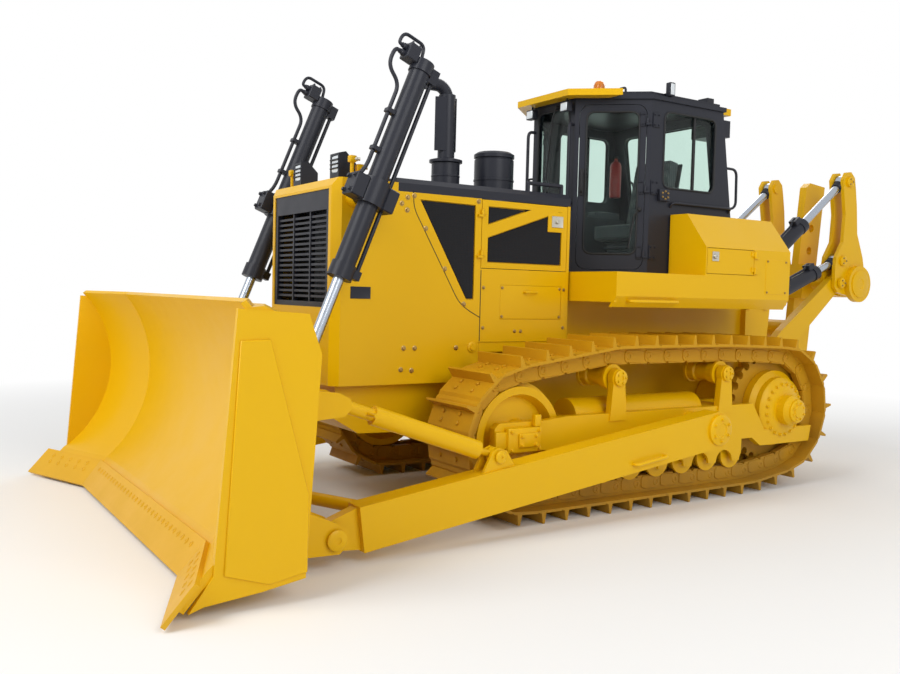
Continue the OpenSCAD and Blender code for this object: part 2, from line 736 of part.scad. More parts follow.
box_x = [-150, 1000];
box_in = 765;
box_top = 2490;
box_edge = 965;
box_side_z = 2190;
function box_section(t) = [[box_in + t, deck_z + t], [fender_half_w - t, deck_z + t],
  [fender_half_w - t, box_side_z - t * 0.4], [box_edge - t * 0.4, box_top - t], [box_in + t, box_top - t]];
module box_volume(t) {
  translate([box_x[0] + t, 0, 0]) rotate([90, 0, 90]) linear_extrude(box_x[1] - box_x[0] - 2 * t)
    polygon(box_section(t));
}
box_door_x = [365, 980];
box_door_z = [1960, 2180];
box_hinge_z = [2000, 2140];
module at_box_hinge() {
  for (z = box_hinge_z)
    translate([box_door_x[0] - door_gap, fender_half_w + hinge_out, z]) mirror([1, 0, 0]) children();
}
module toolbox() {
  color(yellow) {
    difference() {
      box_volume(0);
      box_volume(sheet);
      block([box_door_x[0] - door_gap, fender_half_w - sheet - 1, box_door_z[0] - door_gap],
        [box_door_x[1] + door_gap, fender_half_w + 1, box_door_z[1] + door_gap]);
    }
    at_box_hinge() hinge_fixed();
  }
}
module box_door() {
  color(yellow) {
    block([box_door_x[0], fender_half_w - sheet, box_door_z[0]],
      [box_door_x[1], fender_half_w, box_door_z[1]]);
    at_box_hinge() hinge_moving();
  }
}
module tanks() {
  color(yellow) {
    mirrored() box_volume(0);
    block([fender_rear, 10 - box_in, deck_z], [cab_rear - 20, box_in - 10, 2440]);
  }
}

// Blade: one section runs straight across the middle and on along each wing
face_c = [6040, 1024];
face_top = 140.9;
face_low = 231.3;
edge_root = on_arc(face_c, moldboard_r, face_low);
edge_tip = [5611, edge_clear];
edge_t = 28;
edge_dir = (edge_tip - edge_root) / norm(edge_tip - edge_root);
edge_up = [-edge_dir[1], edge_dir[0]];
edge_len = norm(edge_tip - edge_root);
tip_y = 2177;
end_t = 30;
fold_x = edge_tip[0];
front_reach = fold_x + edge_t * edge_up[0] / cos(wing_angle) + (tip_y - blade_fold_y) * tan(wing_angle);
function on_edge(u, h) = edge_root + edge_dir * u + edge_up * h;
back_x = 5060;
face_seat = 6;
module face_cut(y0, y1, grow) {
  rod_y(face_c, moldboard_r + grow, y0 - 1, y1 + 1);
}
module blade_section(y0, y1) {
  difference() {
    union() {
      intersection() {
        rod_y(face_c, moldboard_r + moldboard_t, y0, y1);
        slab(y0, y1) polygon([face_c, on_arc(face_c, 2 * moldboard_r, face_top),
          on_arc(face_c, 2 * moldboard_r, 180), on_arc(face_c, 2 * moldboard_r, face_low)]);
      }
      slab(y0, y1) polygon([[back_x, 170], [5400, 120], on_edge(75, -20), [5280, 460], [back_x, 480]]);
      slab(y0, y1) polygon([[5270, 1625], [5150, 1640], [5010, 1570], [5010, 1430], [5150, 1420]]);
    }
    face_cut(y0, y1, 0);
  }
  slab(y0, y1) polygon([on_edge(0, -weld_seam), on_edge(240, -weld_seam), on_edge(240, -45),
    on_edge(-10, -45)]);
}
module edge_section(y0, y1) {
  slab(y0, y1) polygon([on_edge(50, 0), on_edge(edge_len, 0), on_edge(edge_len, edge_t),
    on_edge(50, edge_t)]);
}
module at_fold(turn) {
  translate([fold_x, blade_fold_y, 0]) rotate([0, 0, -turn]) children();
}
weld_seam = 0.4;
module middle_only() {
  intersection() {
    children();
    at_fold(wing_angle / 2) block([-big, -2 * big, -big], [big, -weld_seam / 2, big]);
    mirrored() at_fold(wing_angle / 2) block([-big, -2 * big, -big], [big, -weld_seam / 2, big]);
  }
}
module wing_only(y_end) {
  intersection() {
    at_fold(wing_angle) translate([-fold_x, 0, 0]) children();
    at_fold(wing_angle / 2) block([-big, weld_seam / 2, -big], [big, big, big]);
    block([0, 0, -big], [2 * big, y_end, big]);
  }
}
lug_gap = 85;
lug_t = 30;
lift_lug_gap = 155;
lift_eye = [4860, 590];
ball = [4729, 191];
brace_end = [4660, 1016];
brace_toe_in = 85;
brace_end_y = ball_y - brace_toe_in;
joint_pin_r = 38;
wing_reach = 1100;
end_plate = [[5525, 1625], [5120, 1600], [5040, 1375], [5115, 130], [5370, 90], [5690, 60], [5770, 34],
  [5640, 215]];
module ear(y, gap, shape) {
  for (s = [-1, 1])
    slab(y + (s > 0 ? gap : -gap - lug_t), y + (s > 0 ? gap + lug_t : -gap)) polygon(shape);
}
module blade_half() {
  wing_only(blade_half_w - end_t / 2) blade_section(-200, wing_reach);
  slab(blade_half_w - end_t, blade_half_w) polygon(end_plate);
  difference() {
    union() {
      ear(lift_y, lift_lug_gap, [[4790, 560], [4830, 520], [5100, 460], [5150, 800], [4900, 690],
        [4800, 640]]);
      ear(brace_end_y, lug_gap, [[4590, 990], [4640, 940], [5140, 900], [5140, 1150], [4680, 1090],
        [4600, 1050]]);
      for (y = rib_y) slab(y - rib_t / 2, y + rib_t / 2)
        polygon([[back_x, 470], [5300, 470], [5200, 950], [5150, 1440], [5015, 1440]]);
    }
    face_cut(0, blade_half_w, face_seat);
  }
  for (s = [-1, 1]) rod_y(lift_eye, 45, lift_y + s * (lift_lug_gap + lug_t) - 10,
    lift_y + s * (lift_lug_gap + lug_t) + 10);
  ear(ball_y, lug_gap, [[4640, 150], [4700, 95], [5300, 112], [5280, 330], [5120, 470], [4720, 290],
    [4640, 240]]);
  rod_y(ball, joint_pin_r, ball_y - lug_gap - lug_t - 15, ball_y + lug_gap + lug_t + 15);
  tube([back_x + 20, 150, 330], [4400, arm_in - strut_gap, 300], strut_r);
}
rib_y = [250, 1150];
rib_t = 30;
strut_r = 44;
strut_gap = 50;
module blade() {
  color(yellow) {
    middle_only() blade_section(-2 * blade_fold_y, 2 * blade_fold_y);
    pair() blade_half();
  }
}
module cutting_edge() {
  color(yellow) {
    middle_only() edge_section(-2 * blade_fold_y, 2 * blade_fold_y);
    pair() wing_only(tip_y) edge_section(-200, wing_reach);
  }
}

// Push arms on their trunnion balls
arm_len = norm(ball - trunnion);
arm_drop = atan2(trunnion[1] - ball[1], ball[0] - trunnion[0]);
eye_r = 96;
eye_t = 80;
eye_bore = 62;
neck = 200;
clevis = [3456, 600];
clevis_gap = 40;
clevis_t = 25;
clevis_pin_r = 26;
module at_trunnion() {
  translate([trunnion[0], ball_y, trunnion[1]]) rotate([0, arm_drop, 0]) children();
}
module trunnion_balls() {
  color("#B8860B") pair() difference() {
    translate([trunnion[0], ball_y, trunnion[1]]) sphere(ball_r);
    rod_y(trunnion, trunnion_pin_r + run_fit, 0, ball_y + pin_reach + 5);
  }
}
module push_arm() {
  color(yellow) {
    difference() {
      at_trunnion() {
        rod_y([0, 0], arm_h / 2, -arm_w / 2, arm_w / 2);
        block([0, -arm_w / 2, -arm_h / 2], [arm_len - neck, arm_w / 2, arm_h / 2]);
        slab(-eye_t / 2, eye_t / 2) polygon([[arm_len - neck - 60, -arm_h / 2], [arm_len, -eye_r],
          [arm_len, eye_r], [arm_len - neck - 60, arm_h / 2]]);
        rod_y([arm_len, 0], eye_r, -eye_t / 2, eye_t / 2);
      }
      translate([trunnion[0], ball_y, trunnion[1]]) sphere(ball_r + slide_gap);
      rod_y(trunnion, trunnion_pin_r + 8, 0, ball_y);
      rod_y(ball, eye_bore, 0, big);
    }
    for (s = [-1, 1]) slab(ball_y + s * (clevis_gap + clevis_t / 2) - clevis_t / 2,
      ball_y + s * (clevis_gap + clevis_t / 2) + clevis_t / 2)
      polygon([[clevis[0] - 170, 470], [clevis[0] + 170, 430], [clevis[0] + 60, clevis[1] + 40],
        [clevis[0], clevis[1] + 62], [clevis[0] - 60, clevis[1] + 40]]);
    rod_y(clevis, clevis_pin_r, ball_y - clevis_gap - clevis_t - 12, ball_y + clevis_gap + clevis_t + 12);
  }
}
module push_arm_left() push_arm();
module push_arm_right() mirrored() push_arm();

brace_from = [clevis[0], ball_y, clevis[1]];
brace_to = [brace_end[0], brace_end_y, brace_end[1]];
brace_dir = (brace_to - brace_from) / norm(brace_to - brace_from);
brace_len = norm(brace_to - brace_from);
brace_eye_r = 58;
brace_eye_t = 48;
brace_play = 0.6;
brace_flare = 0.2;
brace_neck_r = 24;
brace_neck = 150;
function on_brace(u) = brace_from + brace_dir * u;
module brace_hole() {
  waist = clevis_pin_r + brace_play;
  mouth = waist + brace_flare * brace_eye_t;
  turned_y(clevis, ball_y) polygon([[0, -brace_eye_t], [mouth, -brace_eye_t], [waist, 0],
    [mouth, brace_eye_t],
    [0, brace_eye_t]]);
}
module brace_eye() {
  difference() {
    union() {
      rod_y(clevis, brace_eye_r, ball_y - brace_eye_t / 2, ball_y + brace_eye_t / 2);
      tube(on_brace(brace_neck_r), on_brace(brace_neck + 10), brace_neck_r);
    }
    brace_hole();
  }
}
brace_r = 65;
brace_screw_r = 42;
brace_head_r = 58;
module brace_left() {
  color(yellow) {
    brace_eye();
    tube(on_brace(brace_neck), on_brace(brace_len - 280), brace_r);
    tube(on_brace(brace_len - 320), on_brace(brace_len), brace_screw_r);
    translate(on_brace(brace_len - 230)) rotate([90, 0, 0]) translate([0, 0, -150])
      cylinder(r = 14, h = 300);
    translate(on_brace(brace_len)) sphere(brace_head_r);
  }
}
tilt_barrel_r = 100;
tilt_rod_r = 45;
tilt_gland = 760;
tilt_rod_in = 300;
tilt_stroke = 105;
module tilt_barrel() {
  color(charcoal) mirrored() difference() {
    union() {
      brace_eye();
      tube(on_brace(brace_neck), on_brace(tilt_gland), tilt_barrel_r);
      tube(on_brace(tilt_gland - 90), on_brace(tilt_gland + 20), tilt_barrel_r + 12);
    }
    tube(on_brace(tilt_rod_in - tilt_stroke), on_brace(tilt_gland + 30), tilt_rod_r + run_fit);
  }
}
module tilt_rod() {
  color(chrome) mirrored() {
    tube(on_brace(tilt_rod_in), on_brace(brace_len), tilt_rod_r);
    translate(on_brace(brace_len)) sphere(brace_head_r);
  }
}

// Lift cylinders, swung on yokes at the sides of the radiator guard
yoke = [4110, 2430];
lift_axis = (lift_eye - yoke) / norm(lift_eye - yoke);
lift_len = norm(lift_eye - yoke);
lift_top = 1032;
lift_gland = 662;
lift_rod_in = 175;
lift_bore_end = 1000;
boss_r = 95;
boss_y = 720;
yoke_pin_r = 45;
yoke_r = 108;
yoke_half = 95;
lift_eye_r = 66;
lift_eye_t = 56;
function on_lift(u) = [yoke[0] + lift_axis[0] * u, lift_y, yoke[1] + lift_axis[1] * u];
pipe_r = 16;
pipe_off = 114;
port_w = 70;
port_len = 110;
module at_lift(u) {
  translate(on_lift(u)) rotate([0, acos(lift_axis[1]), 0]) children();
}
module yoke_boss() {
  difference() {
    rod_y(yoke, boss_r, body_half_w - 1, boss_y);
    rod_y(yoke, yoke_pin_r + run_fit, body_half_w + 10, boss_y + 1);
  }
}
module lift_barrels() {
  color(charcoal) pair() difference() {
    union() {
      tube(on_lift(-lift_top), on_lift(lift_gland), lift_barrel_r);
      tube(on_lift(lift_gland - 110), on_lift(lift_gland), lift_barrel_r + 14);
      tube(on_lift(-lift_top - 30), on_lift(60 - lift_top), lift_barrel_r + 10);
      tube(on_lift(-yoke_half), on_lift(yoke_half), yoke_r);
      rod_y(yoke, 75, boss_y + 8, lift_y);
      rod_y(yoke, yoke_pin_r, body_half_w + 16, lift_y);
      at_lift(-lift_top - 20) block([0, -port_w / 2, 0], [pipe_off + 30, port_w / 2, port_len]);
      at_lift(lift_gland - 100) block([0, -port_w / 2, 0], [pipe_off + 24, port_w / 2, port_len * 0.6]);
      at_lift(40 - lift_top) translate([pipe_off, 0, 0])
        cylinder(r = pipe_r, h = lift_top + lift_gland - 100);
    }
    tube(on_lift(-lift_bore_end), on_lift(lift_gland + 20), lift_rod_r + run_fit);
  }
}
module lift_rods() {
  color(chrome) pair() {
    tube(on_lift(lift_rod_in), on_lift(lift_len - 20), lift_rod_r);
    rod_y(lift_eye, lift_eye_r, lift_y - lift_eye_t / 2, lift_y + lift_eye_t / 2);
  }
}

// Ripper: a parallel linkage of lower arms and upper tilt cylinders
arm_base = [-500, 900];
arm_pin = [-1880, 1945];
tilt_base = [-580, 2015];
tilt_pin = tilt_base + arm_pin - arm_base;
rip_base = [-620, 1686];
rip_pin = arm_pin + [-20, 245];
ear_in = [link_y - ear_slot / 2 - ear_t, link_y - ear_slot / 2];
ear_out = [link_y + ear_slot / 2, link_y + ear_slot / 2 + ear_t];
link_half = ear_slot / 2 - eye_gap;
link_r = 95;
link_pin_r = 40;
beam_c = [arm_pin[0] - 270, arm_pin[1] - 5];
rear_reach = disc_r - beam_c[0];
x_mid = (front_reach - rear_reach) / 2;
module ears_at(shape) {
  for (e = [ear_in, ear_out]) slab(e[0], e[1]) polygon(shape);
}
mount_t = 40;
ear_root = case_rear - mount_t - weld_seam;
module ripper_mount() {
  color(yellow) {
    block([case_rear - mount_t, -ear_out[1], 640], [case_rear, ear_out[1], 1630]);
    pair() {
      difference() {
        ears_at([[ear_root, 700], [-520, 770], [-620, 900], [-700, 1640], [-700, 1740], [-660, 2060],
          [-580, 2120], [-490, 2060], [-440, 1700], [ear_root, 1620]]);
        rod_y(arm_base, link_pin_r + slide_gap, 0, big);
        rod_y(tilt_base, link_pin_r + slide_gap, 0, big);
        rod_y(rip_base, link_pin_r + slide_gap, 0, big);
      }
      rod_y(arm_base, link_pin_r, ear_in[0] - 15, ear_out[1] + 15);
      rod_y(rip_base, link_pin_r, ear_in[0] - 15, ear_out[1] + 15);
    }
  }
}
arm_angle = atan2(arm_pin[1] - arm_base[1], arm_pin[0] - arm_base[0]);
rip_arm_len = norm(arm_pin - arm_base);
module ripper_arm() {
  color(yellow) difference() {
    union() {
      pair() {
        rod_y(arm_base, link_r, link_y - link_half, link_y + link_half);
        rod_y(arm_pin, link_r, link_y - link_half, link_y + link_half);
        translate([arm_base[0], 0, arm_base[1]]) rotate([0, -arm_angle, 0])
          slab(link_y - link_half, link_y + link_half) polygon([[0, 8 - link_r], [rip_arm_len * 0.4, -130],
            [rip_arm_len, 8 - link_r], [rip_arm_len, link_r - 8], [rip_arm_len * 0.4, 120],
            [0, link_r - 8]]);
      }
      rod_y((arm_base + arm_pin) / 2, 105, -link_y, link_y);
    }
    pair() {
      rod_y(arm_base, link_pin_r + run_fit, 0, big);
      rod_y(arm_pin, link_pin_r + run_fit, 0, big);
    }
  }
}
module link_pins(p) {
  pair() {
    rod_y(p, link_pin_r, ear_in[0] - 15, ear_out[1] + 15);
    rod_y(p, 60, ear_out[1] + 8, ear_out[1] + 24);
  }
}
collar_r = 95;
collar_t = 120;
module ripper_pins() {
  color(yellow) {
    link_pins(arm_pin);
    pair() rod_y(arm_pin, collar_r, ear_in[0] - eye_gap - collar_t, ear_in[0] - eye_gap);
  }
}
module ripper_tilt_pins() color(yellow) link_pins(tilt_base);

shank_lean = 6;
shank_fore = 165;
pocket_half = 150;
module at_shank() {
  translate([beam_c[0] + shank_fore, 0, beam_c[1]]) rotate([0, -shank_lean, 0]) children();
}
beam_ear = [[100, -45], [40, -105], [-200, -145], [-380, -85], [-440, 115], [-390, 295], [-270, 555],
  [-240, 855], [-205, 1055], [-180, 1165], [-110, 1225], [-30, 1215], [25, 1135], [10, 1035], [-40, 755],
  [-20, 455], [90, 285], [105, 175]];
module ripper_beam() {
  color(yellow) {
    difference() {
      union() {
        rod_y(beam_c, beam_r, -ear_out[1], ear_out[1]);
        at_shank() block([-shank_w / 2 - 22, -pocket_half, -190], [shank_w / 2 + 22, pocket_half, 200]);
      }
      at_shank() block([-shank_w / 2, -shank_t / 2, -big], [shank_w / 2, shank_t / 2, big]);
    }
    pair() {
      rod_y(beam_c, disc_r, ear_out[1], ear_out[1] + 60);
      difference() {
        ears_at([for (p = beam_ear) arm_pin + p]);
        rod_y(arm_pin, link_pin_r + run_fit, 0, big);
      }
      for (p = [tilt_pin, rip_pin]) for (y = [ear_in[0] - 14, ear_out[1]])
        rod_y(p, 58, y, y + 14);
    }
  }
}
shank_top = 1150;
shank_low = 820;
depth_holes = [380, 640];
depth_hole_r = 45;
tooth_pin = [shank_w / 2 - 15, -shank_low - 220];
shin_pin = [shank_w / 2 - 95, -shank_low - 60];
shank_pin_r = 22;
module ripper_shank() {
  w = shank_w / 2;
  color(yellow) at_shank() difference() {
    slab(-shank_t / 2, shank_t / 2) polygon([[-w, shank_top], [w - 60, shank_top], [w, shank_top - 60],
      [w, -shank_low],
      [w + 60, -shank_low - 140], [w + 150, -shank_low - 330], [w + 60, -shank_low - 320],
      [-60, -shank_low - 200],
      [-w, -shank_low + 60]]);
    for (z = depth_holes) rod_y([0, z], depth_hole_r, -big, big);
    for (p = [tooth_pin, shin_pin]) rod_y(p, shank_pin_r, -big, big);
  }
}
barrel_from = 155;
barrel_neck_r = 38;
barrel_floor = 25;
module cylinder_barrel(p, q, gland) {
  d = (q - p) / norm(q - p);
  function at(u) = [p[0] + d[0] * u, link_y, p[1] + d[1] * u];
  difference() {
    union() {
      rod_y(p, 82, link_y - link_half, link_y + link_half);
      tube(at(40), at(barrel_from + 20), barrel_neck_r);
      tube(at(barrel_from), at(gland), rip_barrel_r);
      tube(at(gland - 80), at(gland), rip_barrel_r + 8);
    }
    rod_y(p, link_pin_r + run_fit, 0, big);
    tube(at(barrel_from + barrel_floor), at(gland + 10), rip_rod_r + run_fit);
  }
}
module cylinder_rod(p, q, rod_in) {
  d = (q - p) / norm(q - p);
  function at(u) = [p[0] + d[0] * u, link_y, p[1] + d[1] * u];
  tube(at(rod_in), at(norm(q - p) - 20), rip_rod_r);
  rod_y(q, 76, link_y - link_half, link_y + link_half);
}
tilt_rip_gland = 900;
rip_gland = 1000;
module ripper_tilt_barrels() color(charcoal) pair() cylinder_barrel(tilt_base, tilt_pin, tilt_rip_gland);
module ripper_tilt_rods() color(chrome) pair() cylinder_rod(tilt_base, tilt_pin, 480);
module ripper_lift_barrels() color(charcoal) pair() cylinder_barrel(rip_base, rip_pin, rip_gland);
module ripper_lift_rods() color(chrome) pair() cylinder_rod(rip_base, rip_pin, 240);

module place() {
  translate([-x_mid, 0, 0]) children();
}
place() main_frame();
place() engine_block();
place() radiator();
place() radiator_guard();
place() grilles();
place() hood();
place() engine_sides();
place() exhaust_stack();
place() precleaner();
place() lamps();
place() cab_shell();
place() cab_roof();
place() cab_glass();
place() cab_visors();
place() cab_seat();
place() cab_console();
place() cab_fittings();
place() fenders();
place() toolbox();
place() tanks();
place() track_frames();
place() idlers();
place() sprockets();
place() final_drives();
place() track_rollers();
place() track_left();
place() track_right();
place() ripper_mount();
place() trunnion_balls();
place() blade();
place() cutting_edge();
place() push_arm_left();
place() push_arm_right();
place() brace_left();
place() tilt_barrel();
place() tilt_rod();
place() lift_barrels();
place() lift_rods();
place() ripper_arm();
place() ripper_pins();
place() ripper_beam();
place() ripper_shank();
place() ripper_tilt_pins();
place() ripper_tilt_barrels();
place() ripper_tilt_rods();
place() ripper_lift_barrels();
place() ripper_lift_rods();
place() cab_door_left();
place() cab_door_right();
place() door_glass_left();
place() door_glass_right();
place() engine_door_left();
place() engine_door_right();
place() box_door();
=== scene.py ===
# %% [markdown]
# # A tracked dozer with a rear ripper
# The machine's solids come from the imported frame: hull, tracks, blade, cab and ripper.
# This lesson dresses them. It sets a camera where the photographer stood, gives every
# surface the finish of the real one, and then models the small things that a solid
# model leaves out: bolts, pipes, lamp lenses, seals, the seat and the loose fittings.

# %% Load the frame
import json
import math

import bpy
from mathutils import Matrix, Vector


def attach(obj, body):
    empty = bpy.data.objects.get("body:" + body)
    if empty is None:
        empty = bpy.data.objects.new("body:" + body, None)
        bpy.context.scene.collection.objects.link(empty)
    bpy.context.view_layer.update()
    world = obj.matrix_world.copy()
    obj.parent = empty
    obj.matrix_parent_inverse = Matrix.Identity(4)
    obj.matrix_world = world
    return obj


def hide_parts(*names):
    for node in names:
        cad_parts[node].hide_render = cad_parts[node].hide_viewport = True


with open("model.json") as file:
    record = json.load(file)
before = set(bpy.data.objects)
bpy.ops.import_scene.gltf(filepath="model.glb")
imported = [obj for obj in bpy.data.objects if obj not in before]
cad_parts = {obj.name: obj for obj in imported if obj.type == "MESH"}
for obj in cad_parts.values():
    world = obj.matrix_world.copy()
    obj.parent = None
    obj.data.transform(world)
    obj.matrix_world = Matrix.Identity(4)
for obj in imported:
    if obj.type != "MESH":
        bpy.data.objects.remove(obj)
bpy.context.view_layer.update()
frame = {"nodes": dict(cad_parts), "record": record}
NODES = frame["nodes"]

# %% [markdown]
# ## Camera
# The photograph was taken from the machine's front left, at about eye height, with a
# moderate wide-angle lens. Its place and lens follow from points that are known on the
# machine and seen in the picture. The camera leans a little, so it is turned by yaw,
# pitch and roll, in that order.

# %% Camera
SPROCKET_X = -1.796013  # the sprocket axle in the frame, metres
CAMERA_FROM_SPROCKET = Vector((7.171, 6.675, 1.738))
CAMERA_YAW = math.radians(-122.85)
CAMERA_PITCH = math.radians(-2.83)
CAMERA_ROLL = math.radians(1.44)
LENS_MM = 36.33
SENSOR_MM = 36.0


def camera_axes(yaw, pitch, roll):
    """Right, up and forward directions of a camera with that yaw, pitch and roll."""
    forward = Vector((math.cos(yaw) * math.cos(pitch), math.sin(yaw) * math.cos(pitch),
                      math.sin(pitch)))
    level = Vector((math.sin(yaw), -math.cos(yaw), 0.0))
    upright = level.cross(forward)
    right = level * math.cos(roll) + upright * math.sin(roll)
    return right, upright * math.cos(roll) - level * math.sin(roll), forward


scene = bpy.context.scene
right, up, forward = camera_axes(CAMERA_YAW, CAMERA_PITCH, CAMERA_ROLL)
bpy.ops.object.camera_add()
camera = bpy.context.object
camera.name = "photographer"
camera.matrix_world = Matrix((right, up, -forward)).transposed().to_4x4()
camera.location = CAMERA_FROM_SPROCKET + Vector((SPROCKET_X, 0, 0))
camera.data.sensor_fit = "HORIZONTAL"
camera.data.sensor_width = SENSOR_MM
camera.data.lens = LENS_MM
camera.data.clip_start, camera.data.clip_end = 0.05, 400.0
scene.camera = camera
print("camera at", [round(v, 2) for v in camera.location], "lens", LENS_MM, "mm")

# %% [markdown]
# ## Light
# A studio picture of a machine this size is lit by the sky and by large soft sources.
# The world gives an even white sky. One large soft lamp stands high in front of the
# blade, a weaker one fills the left side, and a last one lights the rear from above, so
# that edges show without hard shadows.

# %% World and lamps
scene.view_settings.view_transform = "Standard"
SKY_STRENGTH = 0.50
WHITE = (1, 1, 1, 1)


def add(tree, kind, inputs=None, **settings):
    """Add a node with its settings; an input is a value or another node's output."""
    node = tree.nodes.new(kind)
    for name, value in settings.items():
        setattr(node, name, value)
    for socket, value in (inputs or {}).items():
        if isinstance(value, bpy.types.NodeSocket):
            tree.links.new(value, node.inputs[socket])
        else:
            node.inputs[socket].default_value = value
    return node


def seen_directly(tree):
    """1 where a ray comes from the camera, a mirror or a pane, 0 where it lights a surface."""
    path = add(tree, "ShaderNodeLightPath").outputs
    pane = add(tree, "ShaderNodeMath", {0: path["Is Camera Ray"], 1: path["Is Transmission Ray"]},
               operation="MAXIMUM")
    either = add(tree, "ShaderNodeMath", {0: pane.outputs[0], 1: path["Is Glossy Ray"]},
                 operation="MAXIMUM")
    return either.outputs[0]


scene.world = bpy.data.worlds.new("soft_sky")
scene.world.use_nodes = True
sky = scene.world.node_tree
sky.nodes.clear()
light = add(sky, "ShaderNodeBackground", {"Color": WHITE, "Strength": SKY_STRENGTH})
white = add(sky, "ShaderNodeBackground", {"Color": WHITE, "Strength": 1.0})
both = add(sky, "ShaderNodeMixShader",
           {0: seen_directly(sky), 1: light.outputs[0], 2: white.outputs[0]})
add(sky, "ShaderNodeOutputWorld", {"Surface": both.outputs[0]})


def soft_lamp(name, place, target, size, watts):
    """A square lamp at a place, turned to a target."""
    bpy.ops.object.light_add(type="AREA", location=place)
    lamp = bpy.context.object
    lamp.name = name
    lamp.data.size = size
    lamp.data.energy = watts
    lamp.rotation_mode = "QUATERNION"
    lamp.rotation_quaternion = (Vector(target) - Vector(place)).to_track_quat("-Z", "Y")


soft_lamp("key_lamp", (11.0, 2.0, 9.5), (1.0, 0.0, 1.2), 7.0, 840)
soft_lamp("side_lamp", (1.0, 12.0, 7.0), (0.0, 0.0, 1.0), 7.0, 530)
soft_lamp("rear_lamp", (-9.0, -6.0, 9.0), (-1.0, 0.0, 1.5), 6.0, 420)
print("lit by the sky and three soft lamps")

# %% [markdown]
# ## Floor
# A plain pale floor under the tracks, large enough to run out of every view. Near the
# machine it is matt paper that keeps the shadow. Further out it fades into a white glow
# of strength 1, the white of the background, so no horizon shows behind the machine.

# %% Floor
FLOOR_SIZE = 240.0
FLOOR_DROP = 0.002
SHADOW_REACH = 5.0
PAPER_REACH = 11.0


def hex_colour(code):
    """sRGB hex code to the linear colour that a shader takes."""
    channels = [int(code[i:i + 2], 16) / 255 for i in (1, 3, 5)]
    return tuple(c / 12.92 if c <= 0.04045 else ((c + 0.055) / 1.055) ** 2.4
                 for c in channels) + (1.0,)


def new_material(name):
    """An empty node material; returns the material and its tree."""
    material = bpy.data.materials.new(name)
    material.use_nodes = True
    material.node_tree.nodes.clear()
    return material, material.node_tree


floor_paper, tree = new_material("floor_paper")
grain = add(tree, "ShaderNodeTexNoise", {"Scale": 40.0, "Detail": 3.0})
paper = add(tree, "ShaderNodeValToRGB", {"Fac": grain.outputs["Fac"]})
paper.color_ramp.elements[0].color = hex_colour("#F1F1F0")
paper.color_ramp.elements[1].color = hex_colour("#F6F6F5")
matt = add(tree, "ShaderNodeBsdfDiffuse", {"Color": paper.outputs["Color"]})
place = add(tree, "ShaderNodeTexCoord").outputs["Object"]
reach = add(tree, "ShaderNodeVectorMath", {0: place}, operation="LENGTH")
fade = add(tree, "ShaderNodeMapRange", {"Value": reach.outputs["Value"],
                                        "From Min": SHADOW_REACH, "From Max": PAPER_REACH})
glow = add(tree, "ShaderNodeEmission", {"Color": WHITE, "Strength": 1.0})
share = add(tree, "ShaderNodeMath", {0: fade.outputs[0], 1: seen_directly(tree)},
            operation="MULTIPLY")
sheet = add(tree, "ShaderNodeMixShader",
            {0: share.outputs[0], 1: matt.outputs[0], 2: glow.outputs[0]})
add(tree, "ShaderNodeOutputMaterial", {"Surface": sheet.outputs[0]})
bpy.ops.object.select_all(action="DESELECT")
bpy.ops.mesh.primitive_plane_add(size=FLOOR_SIZE, location=(0, 0, -FLOOR_DROP))
floor = bpy.context.object
floor.name = "studio_floor"
floor.data.materials.append(floor_paper)
print("floor", FLOOR_SIZE, "m across")

# %% [markdown]
# ## Yellow enamel
# Construction machines are sprayed with a two-part enamel. It is glossy, with the faint
# ripple of sprayed paint, a few millimetres wide, and dust dulls it in soft patches.
# The ripple is a fine bump; the patches change the roughness and, a little, the colour.
# Low down the second colour is stronger, which the height in Object coordinates gives.
# On the body it is dust; on the tracks it is painted shade, over a darker yellow that is painted
# shade too.

# %% Yellow enamel
MM = 0.001
GLOSS = 0.22  # enamel under dust mirrors less than clean paint
PATCH_MM = 350
DUST_AND_SHADE_HIGH_UP = 0.04


def ripple_bump(tree, place, wavelength_mm, height_mm, strength):
    """Bump of a noise whose waves are that long and that high."""
    noise = add(tree, "ShaderNodeTexNoise",
                {"Vector": place, "Scale": 1 / (wavelength_mm * MM), "Detail": 2.0})
    bump = add(tree, "ShaderNodeBump", {"Height": noise.outputs["Fac"], "Strength": strength,
                                        "Distance": height_mm * MM})
    return bump.outputs[0]


